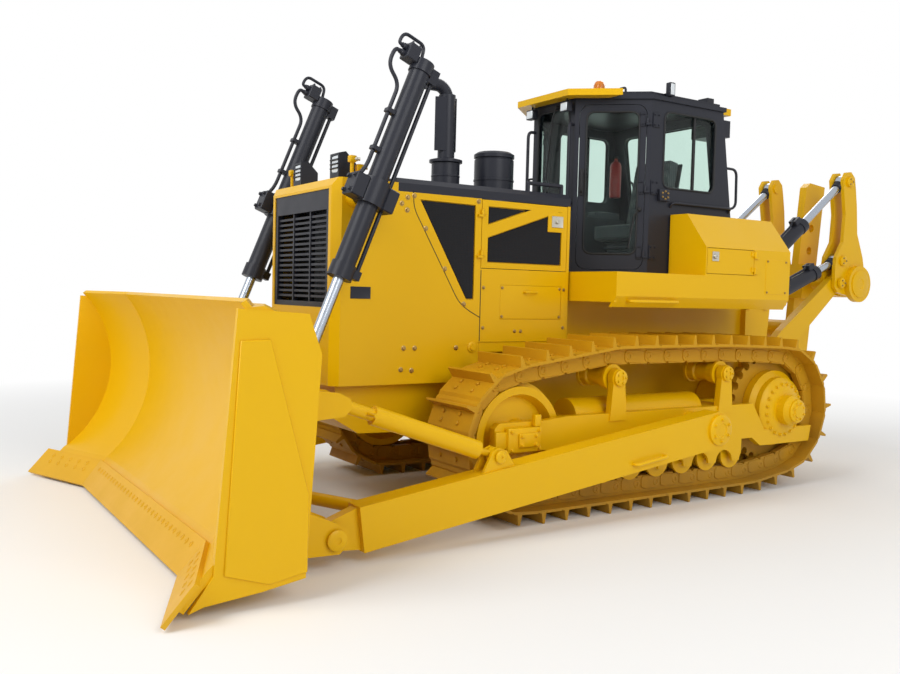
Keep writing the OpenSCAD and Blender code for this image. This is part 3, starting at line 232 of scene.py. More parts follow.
def enamel(name, paint, dust_and_shade_colour, roughness, dust_and_shade_height, dust_and_shade_share, coat):
    """Sprayed enamel: paint colour, a second colour for dust and painted shade, and how high it
    reaches.
    """
    material, tree = new_material(name)
    place = add(tree, "ShaderNodeTexCoord").outputs["Object"]
    noise = add(tree, "ShaderNodeTexNoise", {"Vector": place, "Scale": 1 / (PATCH_MM * MM),
                                             "Detail": 4.0, "Roughness": 0.6})
    patches = noise.outputs["Fac"]
    height = add(tree, "ShaderNodeSeparateXYZ", {0: place}).outputs["Z"]
    low = add(tree, "ShaderNodeMapRange", {"Value": height, "From Max": dust_and_shade_height,
                                           "To Min": dust_and_shade_share, "To Max": DUST_AND_SHADE_HIGH_UP})
    # The second colour mixes in lower down: dust on the body, painted shade on the tracks.
    dust_and_shade_film = add(tree, "ShaderNodeMath", {0: low.outputs[0], 1: patches}, operation="MULTIPLY")
    colour = add(tree, "ShaderNodeMix", {0: dust_and_shade_film.outputs[0], 6: hex_colour(paint),
                                         7: hex_colour(dust_and_shade_colour)}, data_type="RGBA")
    dull = add(tree, "ShaderNodeMapRange", {
        "Value": patches, "From Min": 0.3, "From Max": 0.7,
        "To Min": roughness - 0.05, "To Max": roughness + 0.09})
    shader = add(tree, "ShaderNodeBsdfPrincipled", {
        "Base Color": colour.outputs[2], "Roughness": dull.outputs[0],
        "Normal": ripple_bump(tree, place, 9.0, 0.25, 0.18), "Coat Weight": coat,
        "Coat Roughness": 0.12, "Specular IOR Level": GLOSS})
    add(tree, "ShaderNodeOutputMaterial", {"Surface": shader.outputs[0]})
    return material


# Body, blade and arms: a warm, glossy yellow.
yellow_enamel = enamel("yellow_enamel", "#E4B200", "#C4982A", 0.34, 0.9, 0.20, 0.06)
# Cab, hood and cylinders: a dark blue-grey with soft lights.
charcoal_enamel = enamel("charcoal_enamel", "#24262F", "#4A4842", 0.40, 0.9, 0.10, 0.06)
# Tracks: a darker yellow, browner and darker low down, nearly matt; the darker yellow and the brown
# are painted shade.
track_enamel = enamel("track_enamel", "#C9940A", "#76603A", 0.50, 1.5, 0.80, 0.02)
# Cutting edge: paint that the ground has begun to dull.
edge_enamel = enamel("edge_enamel", "#E4AD04", "#A58A4E", 0.45, 0.5, 0.4, 0.03)
# Extinguisher: a clean red gloss.
red_enamel = enamel("red_enamel", "#B3201C", "#7A2A22", 0.3, 0.9, 0.1, 0.4)
print("enamels:", yellow_enamel.name, charcoal_enamel.name, track_enamel.name, edge_enamel.name,
      red_enamel.name)

# %% [markdown]
# ## Metals
# Cylinder rods are hard-chromed and ground, which blurs what they mirror. The engine is
# painted cast iron, with the pebbled skin of a sand mould. The radiator's core is dull
# aluminium fins, and the arms swing on machined bronze balls. Screws are plated with
# yellowish zinc, and locks are brushed stainless steel.

# %% Metals
BLOTCH_MM = 40


def metal(name, colour, roughness, grain_mm, grain_height, metallic=1.0):
    """A metal whose grain is a fine noise in the surface and in the roughness."""
    material, tree = new_material(name)
    place = add(tree, "ShaderNodeTexCoord").outputs["Object"]
    blotch = add(tree, "ShaderNodeTexNoise",
                 {"Vector": place, "Scale": 1 / (BLOTCH_MM * MM), "Detail": 4.0})
    rough = add(tree, "ShaderNodeMapRange", {
        "Value": blotch.outputs["Fac"], "From Min": 0.3, "From Max": 0.7,
        "To Min": roughness * 0.7, "To Max": roughness * 1.4})
    shader = add(tree, "ShaderNodeBsdfPrincipled", {
        "Base Color": hex_colour(colour), "Metallic": metallic, "Roughness": rough.outputs[0],
        "Normal": ripple_bump(tree, place, grain_mm, grain_height, 0.3)})
    add(tree, "ShaderNodeOutputMaterial", {"Surface": shader.outputs[0]})
    return material


chrome_plate = metal("chrome_plate", "#A9B0BA", 0.24, 3.0, 0.004)
cast_iron = metal("cast_iron", "#6A6A66", 0.55, 4.0, 0.5, 0.35)
core_aluminium = metal("core_aluminium", "#55575A", 0.5, 2.0, 0.3)
bearing_bronze = metal("bearing_bronze", "#B58A3A", 0.28, 2.0, 0.05)
zinc_steel = metal("zinc_plated_steel", "#A98C55", 0.34, 2.0, 0.06)
stainless = metal("brushed_stainless", "#C2BEB2", 0.30, 1.5, 0.05)
print("metals:", chrome_plate.name, cast_iron.name, core_aluminium.name, bearing_bronze.name,
      zinc_steel.name, stainless.name)

# %% [markdown]
# ## Glass, rubber and plastic
# Cab windows are toughened sheet with a green tint. Seals are black rubber with a dull
# grain. Consoles are moulded plastic with a leather-like grain, drawn 3 mm wide so that
# it shows. Lenses are polycarbonate, amber or clear, with a ripple that breaks up the
# light. All but the glass come from one function, since a mould gives each its grain.

# %% Glass, rubber and plastic
CLOUD_MM = 120


def moulded(name, colour, roughness, grain_mm, grain_height, **sockets):
    """A moulded material of one colour with a grain in its surface."""
    material, tree = new_material(name)
    place = add(tree, "ShaderNodeTexCoord").outputs["Object"]
    cloud = add(tree, "ShaderNodeTexNoise",
                {"Vector": place, "Scale": 1 / (CLOUD_MM * MM), "Detail": 3.0})
    value = add(tree, "ShaderNodeMapRange",
                {"Value": cloud.outputs["Fac"], "To Min": 0.8, "To Max": 1.2})
    tone = add(tree, "ShaderNodeHueSaturation",
               {"Color": hex_colour(colour), "Value": value.outputs[0]})
    shader = add(tree, "ShaderNodeBsdfPrincipled", {
        "Base Color": tone.outputs[0], "Roughness": roughness,
        "Normal": ripple_bump(tree, place, grain_mm, grain_height, 0.5), **sockets})
    add(tree, "ShaderNodeOutputMaterial", {"Surface": shader.outputs[0]})
    return material


window_glass, tree = new_material("tinted_window_glass")
pane = add(tree, "ShaderNodeBsdfPrincipled", {
    "Base Color": hex_colour("#E2F1EB"), "Roughness": 0.02, "IOR": 1.2,
    "Transmission Weight": 1.0, "Specular IOR Level": 0.7})
add(tree, "ShaderNodeOutputMaterial", {"Surface": pane.outputs[0]})
black_rubber = moulded("black_rubber", "#17181A", 0.68, 2.0, 0.15)
cab_plastic = moulded("moulded_plastic", "#3A3D42", 0.55, 3.0, 0.25)
amber_lens = moulded("amber_polycarbonate", "#F28A0C", 0.14, 6.0, 0.3,
                     **{"Transmission Weight": 0.25})
lamp_lens = moulded("clear_polycarbonate", "#DCE2E6", 0.12, 7.0, 1.2, Metallic=0.35)
print("moulded and clear:", window_glass.name, black_rubber.name, cab_plastic.name,
      amber_lens.name, lamp_lens.name)

# %% [markdown]
# ## Seat cloth
# The seat is covered with woven cloth, matt and with a faint sheen. Two crossed waves make
# its threads. Real ones lie 1 mm apart, too fine to show behind glass, so they are drawn
# much coarser. Where the threads sink the cloth is painted darker: painted shade between
# the threads.

# %% Seat cloth
THREAD_MM = 25.1327  # the drawn spacing of the threads
WAVES_PER_UNIT = 20 / math.tau  # of a wave texture whose scale is 1
seat_cloth, tree = new_material("woven_seat_cloth")
place = add(tree, "ShaderNodeTexCoord").outputs["Object"]
warp, weft = [add(tree, "ShaderNodeTexWave", {
    "Vector": place, "Scale": 1 / (THREAD_MM * MM) / WAVES_PER_UNIT, "Distortion": 0.4},
    bands_direction=axis).outputs["Fac"] for axis in "YX"]
threads = add(tree, "ShaderNodeMath", {0: warp, 1: weft}, operation="MULTIPLY").outputs[0]
weave = add(tree, "ShaderNodeBump", {"Height": threads, "Strength": 0.5, "Distance": 1.0 * MM})
# The cloth is darker where the threads are low: painted shade between the threads.
cloth_with_painted_shade = add(tree, "ShaderNodeMix", {0: threads, 6: hex_colour("#46494D"),
                                   7: hex_colour("#6E7276")}, data_type="RGBA")
cloth = add(tree, "ShaderNodeBsdfPrincipled", {
    "Base Color": cloth_with_painted_shade.outputs[2], "Roughness": 0.85, "Sheen Weight": 0.3,
    "Normal": weave.outputs[0]})
add(tree, "ShaderNodeOutputMaterial", {"Surface": cloth.outputs[0]})
print("woven:", seat_cloth.name, "with threads", round(THREAD_MM), "mm apart")

# %% [markdown]
# ## Perforated sheet
# The engine breathes through dark sheet with punched holes. The real holes are about 6 mm
# wide and too fine for this distance, so they are drawn 14 mm apart. Cells of a Voronoi
# pattern without scatter stand in a square grid, and their distance makes dot and dimple;
# each dot is painted darker, as painted shade of the space behind the sheet.

# %% Perforated sheet
HOLE_STEP_MM = 14.0
perforated_sheet, tree = new_material("perforated_sheet")
place = add(tree, "ShaderNodeTexCoord").outputs["Object"]
cells = add(tree, "ShaderNodeTexVoronoi", {"Vector": place, "Randomness": 0.0,
                                           "Scale": 1 / (HOLE_STEP_MM * MM)})
holes = add(tree, "ShaderNodeMapRange", {"Value": cells.outputs["Distance"],
                                         "From Min": 0.30, "From Max": 0.40}).outputs[0]
dimple = add(tree, "ShaderNodeBump", {"Height": holes, "Strength": 0.6, "Distance": 2.0 * MM})
# The holes are painted darker than the sheet: painted shade of the space behind it.
painted_hole_shade = add(tree, "ShaderNodeMix", {0: holes, 6: hex_colour("#050507"),
                                      7: hex_colour("#121318")}, data_type="RGBA")
shader = add(tree, "ShaderNodeBsdfPrincipled", {
    "Base Color": painted_hole_shade.outputs[2], "Roughness": 0.5, "Specular IOR Level": 0.2,
    "Normal": dimple.outputs[0]})
add(tree, "ShaderNodeOutputMaterial", {"Surface": shader.outputs[0]})
print("perforated sheet, holes", HOLE_STEP_MM, "mm apart")

# %% [markdown]
# ## Finishes of the solids
# Every node of the frame has a material slot, and each slot has one finish. The small
# pieces below take a finish that is named together with a slot, so the usual pairs get a
# name.

# %% Assign the finishes to the solids
FINISH_OF_SLOT = {
    "yellow_paint": yellow_enamel, "charcoal_paint": charcoal_enamel,
    "track_paint": track_enamel, "edge_steel": edge_enamel, "chrome_rod": chrome_plate,
    "engine_iron": cast_iron, "core_metal": core_aluminium, "bearing_brass": bearing_bronze,
    "window_glass": window_glass, "seat_cloth": seat_cloth, "cab_plastic": cab_plastic}
SLOT_OF_NODE = {part["node"]: part["material_slot"] for part in frame["record"]["subparts"]}
for name, node in NODES.items():
    node.data.materials.clear()
    node.data.materials.append(FINISH_OF_SLOT[SLOT_OF_NODE[name]])
# The track finish has painted shade in its colour.
YELLOW, CHARCOAL, TRACK_WITH_PAINTED_SHADE, CLOTH, PLASTIC = [
    (FINISH_OF_SLOT[slot], slot)
    for slot in ("yellow_paint", "charcoal_paint", "track_paint", "seat_cloth", "cab_plastic")]
PLATED, LOCK = (zinc_steel, "yellow_paint"), (stainless, "chrome_rod")
RUBBER, MESH = (black_rubber, "cab_plastic"), (perforated_sheet, "charcoal_paint")
print("finished", len(NODES), "nodes")

# %% [markdown]
# ## Working with single pieces
# Every small piece below starts as one of Blender's primitives and is then shaped by the
# operators that a modeller uses by hand. A few helpers keep that short. Places are given
# in millimetres ahead of the sprocket axle, to the left, and up from the ground, because
# the machine is drawn that way; `spot` turns them into the frame's metres.

# %% Helpers for small pieces
SIDES = {"left": 1, "right": -1}


def spot(x, y, z):
    """A place in the frame, from millimetres ahead of the sprocket axle, left and up."""
    return Vector((x * MM + SPROCKET_X, y * MM, z * MM))


def on_side(y, places):
    """Places on a side wall: how far left it is, then pairs of ahead and up."""
    return [spot(x, y, z) for x, z in places]


def ring_of(low, high):
    """The corners of a rectangle, in order."""
    return [(low[0], low[1]), (high[0], low[1]), (high[0], high[1]), (low[0], high[1])]


def lone(operator, name, **settings):
    """Add one primitive with everything else deselected, and apply its place and size."""
    bpy.ops.object.select_all(action="DESELECT")
    operator(**settings)
    piece = bpy.context.object
    piece.name = name
    bpy.ops.object.transform_apply(location=True, rotation=True, scale=True)
    return piece


def edit(piece, faces=None):
    """Enter edit mode with the whole piece selected, or only the faces that pass a test."""
    bpy.ops.object.mode_set(mode="EDIT")
    bpy.ops.mesh.select_mode(type="FACE")
    bpy.ops.mesh.select_all(action="SELECT" if faces is None else "DESELECT")
    if faces:
        bpy.ops.object.mode_set(mode="OBJECT")
        for face in piece.data.polygons:
            face.select = faces(face.center, face.normal)
        bpy.ops.object.mode_set(mode="EDIT")


def leave():
    """Turn all faces outwards and go back to object mode."""
    bpy.ops.mesh.select_all(action="SELECT")
    bpy.ops.mesh.remove_doubles(threshold=0.01 * MM)
    bpy.ops.mesh.normals_make_consistent(inside=False)
    bpy.ops.object.mode_set(mode="OBJECT")


def modify(piece, kind, **settings):
    """Add a modifier to a piece and apply it."""
    bpy.context.view_layer.objects.active = piece
    modifier = piece.modifiers.new(kind.lower(), kind)
    for name, value in settings.items():
        setattr(modifier, name, value)
    bpy.ops.object.modifier_apply(modifier=modifier.name)


def dress(piece, body, look, crease=35):
    """Give a finished piece its finish and smooth shading, and make it ride on its body."""
    finish, slot = look
    bpy.ops.object.select_all(action="DESELECT")
    piece.select_set(True)
    bpy.context.view_layer.objects.active = piece
    bpy.ops.object.shade_smooth_by_angle(angle=math.radians(crease))
    piece.data.materials.clear()
    piece.data.materials.append(finish)
    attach(piece, body)
    print("made", piece.name, "on", body, len(piece.data.polygons), "faces")
    return piece


print("small pieces are placed from the sprocket axle, at", SPROCKET_X, "m")

# %% [markdown]
# Blocks, flat plates, turned pieces and bent tubes cover most fittings. A block is a cube
# with bevelled edges. A plate is a disc of as many corners as the outline has, each moved
# to its place, then thickened. Pressing insets one face and moves it in or out. A turned
# piece is a disc that is extruded and resized ring by ring. A bent tube is a curve with a
# round bevel, made a mesh.

# %% Blocks, plates, turned pieces and tubes
def block(name, low, high, bevel):
    """A block between two corners, its edges bevelled by some millimetres."""
    piece = lone(bpy.ops.mesh.primitive_cube_add, name, size=1, location=(low + high) / 2,
                 scale=[abs(v) for v in high - low])
    edit(piece)
    bpy.ops.mesh.bevel(offset=bevel * MM, segments=2, affect="EDGES")
    leave()
    return piece


def plate(name, corners, thickness, bevel=1.5):
    """A flat plate on the given corners, thickened to both sides, its edges bevelled."""
    piece = lone(bpy.ops.mesh.primitive_circle_add, name, vertices=len(corners),
                 fill_type="NGON")
    for vertex, corner in zip(piece.data.vertices, corners):
        vertex.co = corner
    modify(piece, "SOLIDIFY", thickness=thickness * MM, offset=0.0)
    edit(piece)
    bpy.ops.mesh.normals_make_consistent(inside=False)
    bpy.ops.mesh.bevel(offset=bevel * MM, segments=1, affect="EDGES")
    leave()
    return piece


def pressed(piece, outward, rim, rise):
    """Raise or sink the face that looks outward, inside a rim, in millimetres."""
    edit(piece, lambda centre, normal: normal.dot(Vector(outward)) > 0.9)
    bpy.ops.mesh.inset(thickness=rim * MM, depth=rise * MM)
    leave()
    return piece


def raised_plate(name, corners, outward, thickness, rim, rise):
    """A bevelled plate whose outer field is raised or sunk inside a rim."""
    return pressed(plate(name, corners, thickness, 2), outward, rim, rise)


def turned(name, profile, sides=24):
    """A round piece on the Z axis, from rings of radius and height in millimetres."""
    piece = lone(bpy.ops.mesh.primitive_circle_add, name, vertices=sides, fill_type="NGON",
                 radius=profile[0][0] * MM, location=(0, 0, profile[0][1] * MM))
    edit(piece)
    for (r0, z0), (r1, z1) in zip(profile, profile[1:]):
        bpy.ops.mesh.extrude_region_move(
            TRANSFORM_OT_translate={"value": (0, 0, (z1 - z0) * MM)})
        bpy.ops.transform.resize(value=(r1 / r0, r1 / r0, 1), center_override=(0, 0, z1 * MM))
    leave()
    return piece


def rounded_path(points, bend, closed):
    """The points with each corner replaced by a short curve."""
    count, path = len(points), []
    for i, point in enumerate(points):
        if not closed and i in (0, count - 1):
            path.append(point)
            continue
        before, after = points[i - 1] - point, points[(i + 1) % count] - point
        start = point + before.normalized() * min(bend * MM, before.length * 0.49)
        end = point + after.normalized() * min(bend * MM, after.length * 0.49)
        for step in range(7):
            t = step / 6
            path.append(start * (1 - t) ** 2 + point * 2 * t * (1 - t) + end * t ** 2)
    return path


def bent_tube(name, points, radius, bend=40, closed=False, smooth=3):
    """A tube through the points, its corners bent: a bevelled curve made a mesh."""
    bpy.ops.object.select_all(action="DESELECT")
    bpy.ops.curve.primitive_bezier_curve_add()
    wire = bpy.context.object.data
    wire.splines.clear()
    wire.dimensions, wire.use_fill_caps = "3D", True
    wire.bevel_depth, wire.bevel_resolution = radius * MM, smooth
    path = rounded_path(points, bend, closed)
    spline = wire.splines.new("POLY")
    spline.points.add(len(path) - 1)
    for knot, place in zip(spline.points, path):
        knot.co = (*place, 1)
    spline.use_cyclic_u = closed
    bpy.ops.object.convert(target="MESH")
    piece = bpy.context.object
    piece.name = name
    bpy.ops.object.transform_apply(location=True, rotation=True, scale=True)
    edit(piece)
    leave()
    return piece


print("shapes ready")

# %% [markdown]
# A repeated piece is modelled once and copied to its places, each copy with its own mesh.
# `facing` turns a piece's Z axis along a direction.

# %% Copies and joins
def facing(place, direction):
    """The matrix that puts a piece's Z axis along a direction at a place."""
    turn = Vector(direction).to_track_quat("Z", "Y").to_matrix().to_4x4()
    return Matrix.Translation(place) @ turn


def copies(piece, matrices):
    """Copies of a piece, each with its own mesh, placed by matrices and joined as one piece."""
    name = piece.name
    bpy.ops.object.select_all(action="DESELECT")
    for matrix in matrices:
        twin = piece.copy()
        twin.data = piece.data.copy()
        bpy.context.collection.objects.link(twin)
        twin.matrix_world = matrix
        twin.select_set(True)
    bpy.data.objects.remove(piece)
    bpy.context.view_layer.objects.active = twin
    bpy.ops.object.transform_apply(location=True, rotation=True, scale=True)
    bpy.ops.object.join()
    twin.name = name
    return twin


def turned_on(name, profile, place, direction, sides=24):
    """A turned piece at a place, looking along a direction."""
    return copies(turned(name, profile, sides), [facing(place, direction)])


def standing(name, profile, place, sides=24):
    """A turned piece that stands upright at a place."""
    return copies(turned(name, profile, sides), [Matrix.Translation(place)])


def joined(name, pieces):
    """Several pieces joined into one."""
    bpy.ops.object.select_all(action="DESELECT")
    for piece in pieces:
        piece.select_set(True)
    bpy.context.view_layer.objects.active = pieces[0]
    bpy.ops.object.join()
    pieces[0].name = name
    return pieces[0]


print("helpers ready")

# %% [markdown]
# ## Vent panels
# Dark perforated panels fill the pressed recesses of the radiator guard and the engine
# doors. Each is a thin plate a few millimetres inside its recess, with a folded rim: the
# outer face is inset and pushed in. The door's panels ride on the doors.

# %% Vent panels
VENTS = [("guard_vent_", "", [(3553, 2439), (3052, 2433), (3053, 1690), (3114, 1689)]),
         ("door_vent_upper_", "engine_door_", [(2912, 2433), (2912, 2300), (2530, 2431)]),
         ("door_vent_lower_", "engine_door_", [(2912, 2184), (2912, 1993), (2158, 1993),
                                               (2158, 2432), (2188, 2432)])]
VENT_Y = 611
for word, side in SIDES.items():
    for name, door, outline in VENTS:
        panel = plate(name + word, on_side(side * VENT_Y, outline), 10)
        dress(pressed(panel, (0, side, 0), 12, -3), door + word if door else "tractor", MESH)

# %% [markdown]
# ## Panel bolts
# The guard's plates and the side panels are held by plated hexagon screws with washers.
# One screw is turned with a washer and six flats, and copied to every place.

# %% Panel bolts
def screw(name, across=13, head=11):
    """A hexagon screw on its washer, standing on the XY plane."""
    rim, top = across * 1.35, 3 + head
    washer = turned(name + "_washer", [(rim, 0), (rim, 3), (across * 1.2, 4)], 16)
    flats = turned(name, [(across, 3), (across, top), (across * 0.8, top + 2)], 6)
    return joined(name, [washer, flats])


def screws(name, places, direction, body, look, across=13, head=11):
    """Screws at the places, all with their heads towards one direction."""
    row = copies(screw(name, across, head), [facing(place, direction) for place in places])
    return dress(row, body, look, 25)


PANEL_Y = 620  # the side panels' outer face
GUARD_SCREWS = [(3685, 1298), (3587, 1297), (3706, 1132), (3611, 1124), (3203, 1296),
                (3799, 2470), (3677, 2453), (3728, 2404), (3679, 2356), (3620, 2470),
                (3020, 2470), (3511, 2226), (3327, 1920), (3140, 1645)]
PANEL_SCREWS = [(2950, 1781), (2949, 1455), (2110, 1781), (2110, 1455), (2626, 1427),
                (2563, 1426)]
for word, side in SIDES.items():
    wall = side * PANEL_Y
    screws("guard_screws_" + word, on_side(wall, GUARD_SCREWS), (0, side, 0), "tractor",
           PLATED, 15)
    screws("panel_screws_" + word, on_side(wall, PANEL_SCREWS), (0, side, 0), "tractor",
           PLATED, 11, 8)

# %% [markdown]
# ## Cab seals and window bars
# Each pane sits in a black rubber seal that stands a little proud of the wall all round.
# It is a closed tube on a rectangle with the window's round corners. The side window
# slides, so a bar divides it.

# %% Cab seals
CAB_Y = 750  # the cab's side wall
CAB_CORNER = spot(1260, CAB_Y, 0)
CAB_TURN = math.atan2(450, 510)


def on_door(u, v, z, side):
    """A place on a cab door: along it from its rear corner, outwards and up, in millimetres."""
    along = Vector((math.cos(CAB_TURN), -math.sin(CAB_TURN), 0))
    out = Vector((math.sin(CAB_TURN), math.cos(CAB_TURN), 0))
    place = CAB_CORNER + along * u * MM + out * v * MM + Vector((0, 0, z * MM))
    return Vector((place.x, place.y * side, place.z))


def seal(name, corners, body):
    """A rubber seal round a window with the four corners."""
    return dress(bent_tube(name, corners, 10, bend=78, closed=True), body, RUBBER, 60)


def rear_wall(z):
    """Where the cab's leaning rear wall is at a height."""
    return 170 + (z - 2490) * 160 / 1010


seal("windshield_seal",
     [spot(1770, y, z) for y, z in ring_of((-225, 2540), (225, 3440))], "tractor")
seal("rear_seal",
     [spot(rear_wall(z), y, z) for y, z in ring_of((-560, 2600), (560, 3410))], "tractor")
for word, side in SIDES.items():
    seal("side_seal_" + word, on_side(side * CAB_Y, ring_of((430, 2730), (1100, 3410))),
         "tractor")
    seal("door_seal_" + word,
         [on_door(u, 0, z, side) for u, z in ring_of((107, 2120), (573, 3388))],
         "cab_door_" + word)
    bar = block("window_bar_" + word, spot(690, side * 722, 2732), spot(716, side * 748, 3408), 4)
    dress(bar, "tractor", RUBBER)

# %% [markdown]
# ## Door hinges and handles
# Each cab door hangs on three strap hinges. A leaf with four screws is bolted to the door
# and another to the wall behind the hinge pin. The handle is a bent bar on a lock plate
# at the door's front edge. A catch block behind the middle hinge holds the open door.

# %% Door hinges and handles
HINGE_HEIGHTS = (2150, 2730, 3330)
LEAF_FOOT, LEAF_TOP, LEAF_SCREWS = 75, 55, (-55, 35)
STOP_SCREWS = [(1066, 2641), (1066, 2677), (1100, 2625), (1100, 2693), (1134, 2641),
               (1134, 2677)]
for word, side in SIDES.items():
    leaves, walls, heads, wall_heads = [], [], [], []
    for z in HINGE_HEIGHTS:
        low, high = z - LEAF_FOOT, z + LEAF_TOP
        leaves.append(plate("door_leaf", [on_door(u, 5, h, side) for u, h in
                                          ring_of((56, low), (104, high))], 10, 3))
        walls.append(plate("wall_leaf", on_side(side * (CAB_Y + 5),
                                                ring_of((1165, low), (1248, high))), 10, 3))
        heads += [on_door(u, 10, z + h, side) for u in (68, 92) for h in LEAF_SCREWS]
        wall_heads += [spot(x, side * (CAB_Y + 10), z + h) for x in (1182, 1230)
                       for h in LEAF_SCREWS]
    door, out = "cab_door_" + word, (0, side, 0)
    dress(joined("door_leaves_" + word, leaves), door, CHARCOAL)
    dress(joined("wall_leaves_" + word, walls), "tractor", CHARCOAL)
    outward = on_door(0, 1, 0, side) - on_door(0, 0, 0, side)
    screws("door_leaf_screws_" + word, heads, outward, door, CHARCOAL, 7, 6)
    screws("wall_leaf_screws_" + word, wall_heads, out, "tractor", CHARCOAL, 7, 6)
    lock = plate("lock", [on_door(u, 6, z, side) for u, z in ring_of((585, 2640), (625, 2880))],
                 12, 4)
    grip = bent_tube("grip", [on_door(605, v, z, side) for v, z in
                              ((6, 2670), (52, 2670), (52, 2850), (6, 2850))], 10, 26)
    dress(joined("door_handle_" + word, [lock, grip]), door, RUBBER)
    stop = block("door_stop_" + word, spot(1040, side * 749, 2606), spot(1160, side * 788, 2712), 6)
    dress(stop, "tractor", CHARCOAL)
    screws("stop_screws_" + word, on_side(side * 788, STOP_SCREWS), out, "tractor",
           (zinc_steel, "charcoal_paint"), 7, 6)

# %% [markdown]
# ## Wipers
# The windshield's wiper hangs from a motor above the glass, and each door has a short one
# from its lower rear corner. An arm of bent wire holds a blade with a rubber lip. The
# blade stands off the seal, so it clears the glass.

# %% Wipers
def wiper(name, pivot, elbow, tip, lift, body):
    """A wiper: a turned pivot, a bent arm and a blade between two places, off the glass."""
    out = lift * MM
    middle = (elbow + tip) / 2
    arm = bent_tube("arm", [pivot, pivot + out, elbow + out, middle + out], 6, 12)
    lip = bent_tube("lip", [elbow + out * 0.9, middle + out * 0.8, tip + out * 0.9], 8, 60,
                    smooth=1)
    hub = turned_on("hub", [(20, 0), (20, 18), (14, 30), (10, 34)], pivot, lift)
    return dress(joined(name, [hub, arm, lip]), body, RUBBER)


wiper("windshield_wiper", spot(1772, 60, 3462), spot(1772, 10, 3360), spot(1772, -70, 2800),
      Vector((26, 0, 0)), "tractor")
for word, side in SIDES.items():
    outward = on_door(0, 1, 0, side) - on_door(0, 0, 0, side)
    wiper("door_wiper_" + word, on_door(86, 2, 2520, side), on_door(128, 2, 2470, side),
          on_door(175, 2, 2170, side), outward.normalized() * 22, "cab_door_" + word)

# %% [markdown]
# ## Handrails and roof eyes
# Grab rails stand beside the windshield, under the side windows and behind the rear
# pillars, and lifting eyes are welded on the roof.

# %% Handrails and roof eyes
EYE_Y, EYE_HALF = 430, 45
for word, side in SIDES.items():
    rail = bent_tube("front_rail_" + word, [
        spot(1768, side * 278, 2580), spot(1835, side * 300, 2580),
        spot(1835, side * 300, 3280), spot(1768, side * 278, 3280)], 15, 60)
    dress(rail, "tractor", CHARCOAL, 60)
    low = bent_tube("side_rail", [
        spot(997, side * 748, 2560), spot(997, side * 780, 2597),
        spot(215, side * 780, 2597), spot(215, side * 748, 2560)], 13, 40)
    rear = bent_tube("rear_rail", on_side(
        side * 700, [(256, 2992), (56, 2992), (48, 2624), (190, 2600)]), 13, 70)
    dress(joined("cab_rails_" + word, [low, rear]), "tractor", CHARCOAL, 60)
    eyes = [bent_tube("eye", [spot(x, side * EYE_Y + y, z) for y, z in (
        (-EYE_HALF, 3570), (-EYE_HALF, 3640), (EYE_HALF, 3640), (EYE_HALF, 3570))], 11, 25)
        for x in (620, 1330)]
    dress(joined("roof_eyes_" + word, eyes), "tractor", CHARCOAL, 60)

# %% [markdown]
# ## Lamps and beacon
# The head lamps and rear lamps are boxes with a recess, which a rippled clear lens closes,
# behind three bars at the head lamps. More work lamps hang under the front visor, and one
# stands on a bracket at the roof's edge. The beacon's amber dome has vertical ribs:
# alternate faces of its wall are pushed in.

# %% Lamps and beacon
HEAD_LAMP_Y, REAR_LAMP_Y = 350, 480
BEACON = (1440, 240, 3573)
DOME_SIDES = 32


def lens(name, corners, outward):
    """A clear lens with a raised field, on four corners, looking outward."""
    pane = raised_plate(name, corners, outward, 8, 9, 2.5)
    return dress(pane, "tractor", (lamp_lens, "charcoal_paint"))


def on_front(x, y, low, high):
    """The corners of a rectangle that looks ahead or back, around a Y place."""
    return [spot(x, y + dy, z) for dy, z in ring_of(low, high)]


def work_lamp(name, x, y, z):
    """A work lamp in a bevelled housing on a bent bracket, looking ahead."""
    housing = block("housing", spot(x - 32, y - 52, z - 45), spot(x + 32, y + 52, z + 45), 9)
    pressed(housing, (1, 0, 0), 9, -6)
    stem = bent_tube("stem", [spot(x, y, z + 40), spot(x - 8, y, z + 78)], 9)
    dress(joined(name, [housing, stem]), "tractor", CHARCOAL)
    lens(name + "_lens", on_front(x + 30, y, (-42, z - 35), (42, z + 35)), (1, 0, 0))


def every_other(centre, normal):
    """Picks each second face of the dome's wall."""
    step = math.degrees(math.atan2(centre.y, centre.x)) * DOME_SIDES / 360
    return abs(normal.z) < 0.3 and round(step - 0.5) % 2 == 0


for word, side in SIDES.items():
    y = side * HEAD_LAMP_Y
    lens("head_lens_" + word, on_front(4161, y, (-57, 2622), (57, 2748)), (1, 0, 0))
    lens("rear_lens_" + word, on_front(239, side * REAR_LAMP_Y, (-48, 3585), (48, 3661)),
         (-1, 0, 0))
    work_lamp("visor_lamp_" + word, 1836, side * 250, 3432)
    bars = [bent_tube("lamp_bar", [spot(4173, y - 66, z), spot(4173, y + 66, z)], 6)
            for z in (2653, 2685, 2717)]
    dress(joined("lamp_bars_" + word, bars), "tractor", CHARCOAL, 60)
roof_lamp = block("roof_lamp", spot(1030, 742, 3545), spot(1096, 800, 3668), 9)
pressed(roof_lamp, (0, 1, 0), 9, -5)
bracket = bent_tube("bracket", [spot(1063, 700, 3574), spot(1063, 745, 3574),
                                spot(1063, 760, 3620)], 10, 20)
dress(joined("roof_lamp", [roof_lamp, bracket]), "tractor", CHARCOAL)
lens("roof_lamp_lens", on_side(797, ring_of((1040, 3558), (1086, 3656))), (0, 1, 0))
dome = turned("beacon_dome", [(55, 30), (56, 36), (52.5, 108), (41, 137), (24, 148.5)],
              DOME_SIDES)
edit(dome, every_other)
bpy.ops.mesh.inset(thickness=1 * MM, depth=-1.5 * MM, use_individual=True)
leave()
dome = copies(dome, [Matrix.Translation(spot(*BEACON))])
dress(dome, "tractor", (amber_lens, "charcoal_paint"))

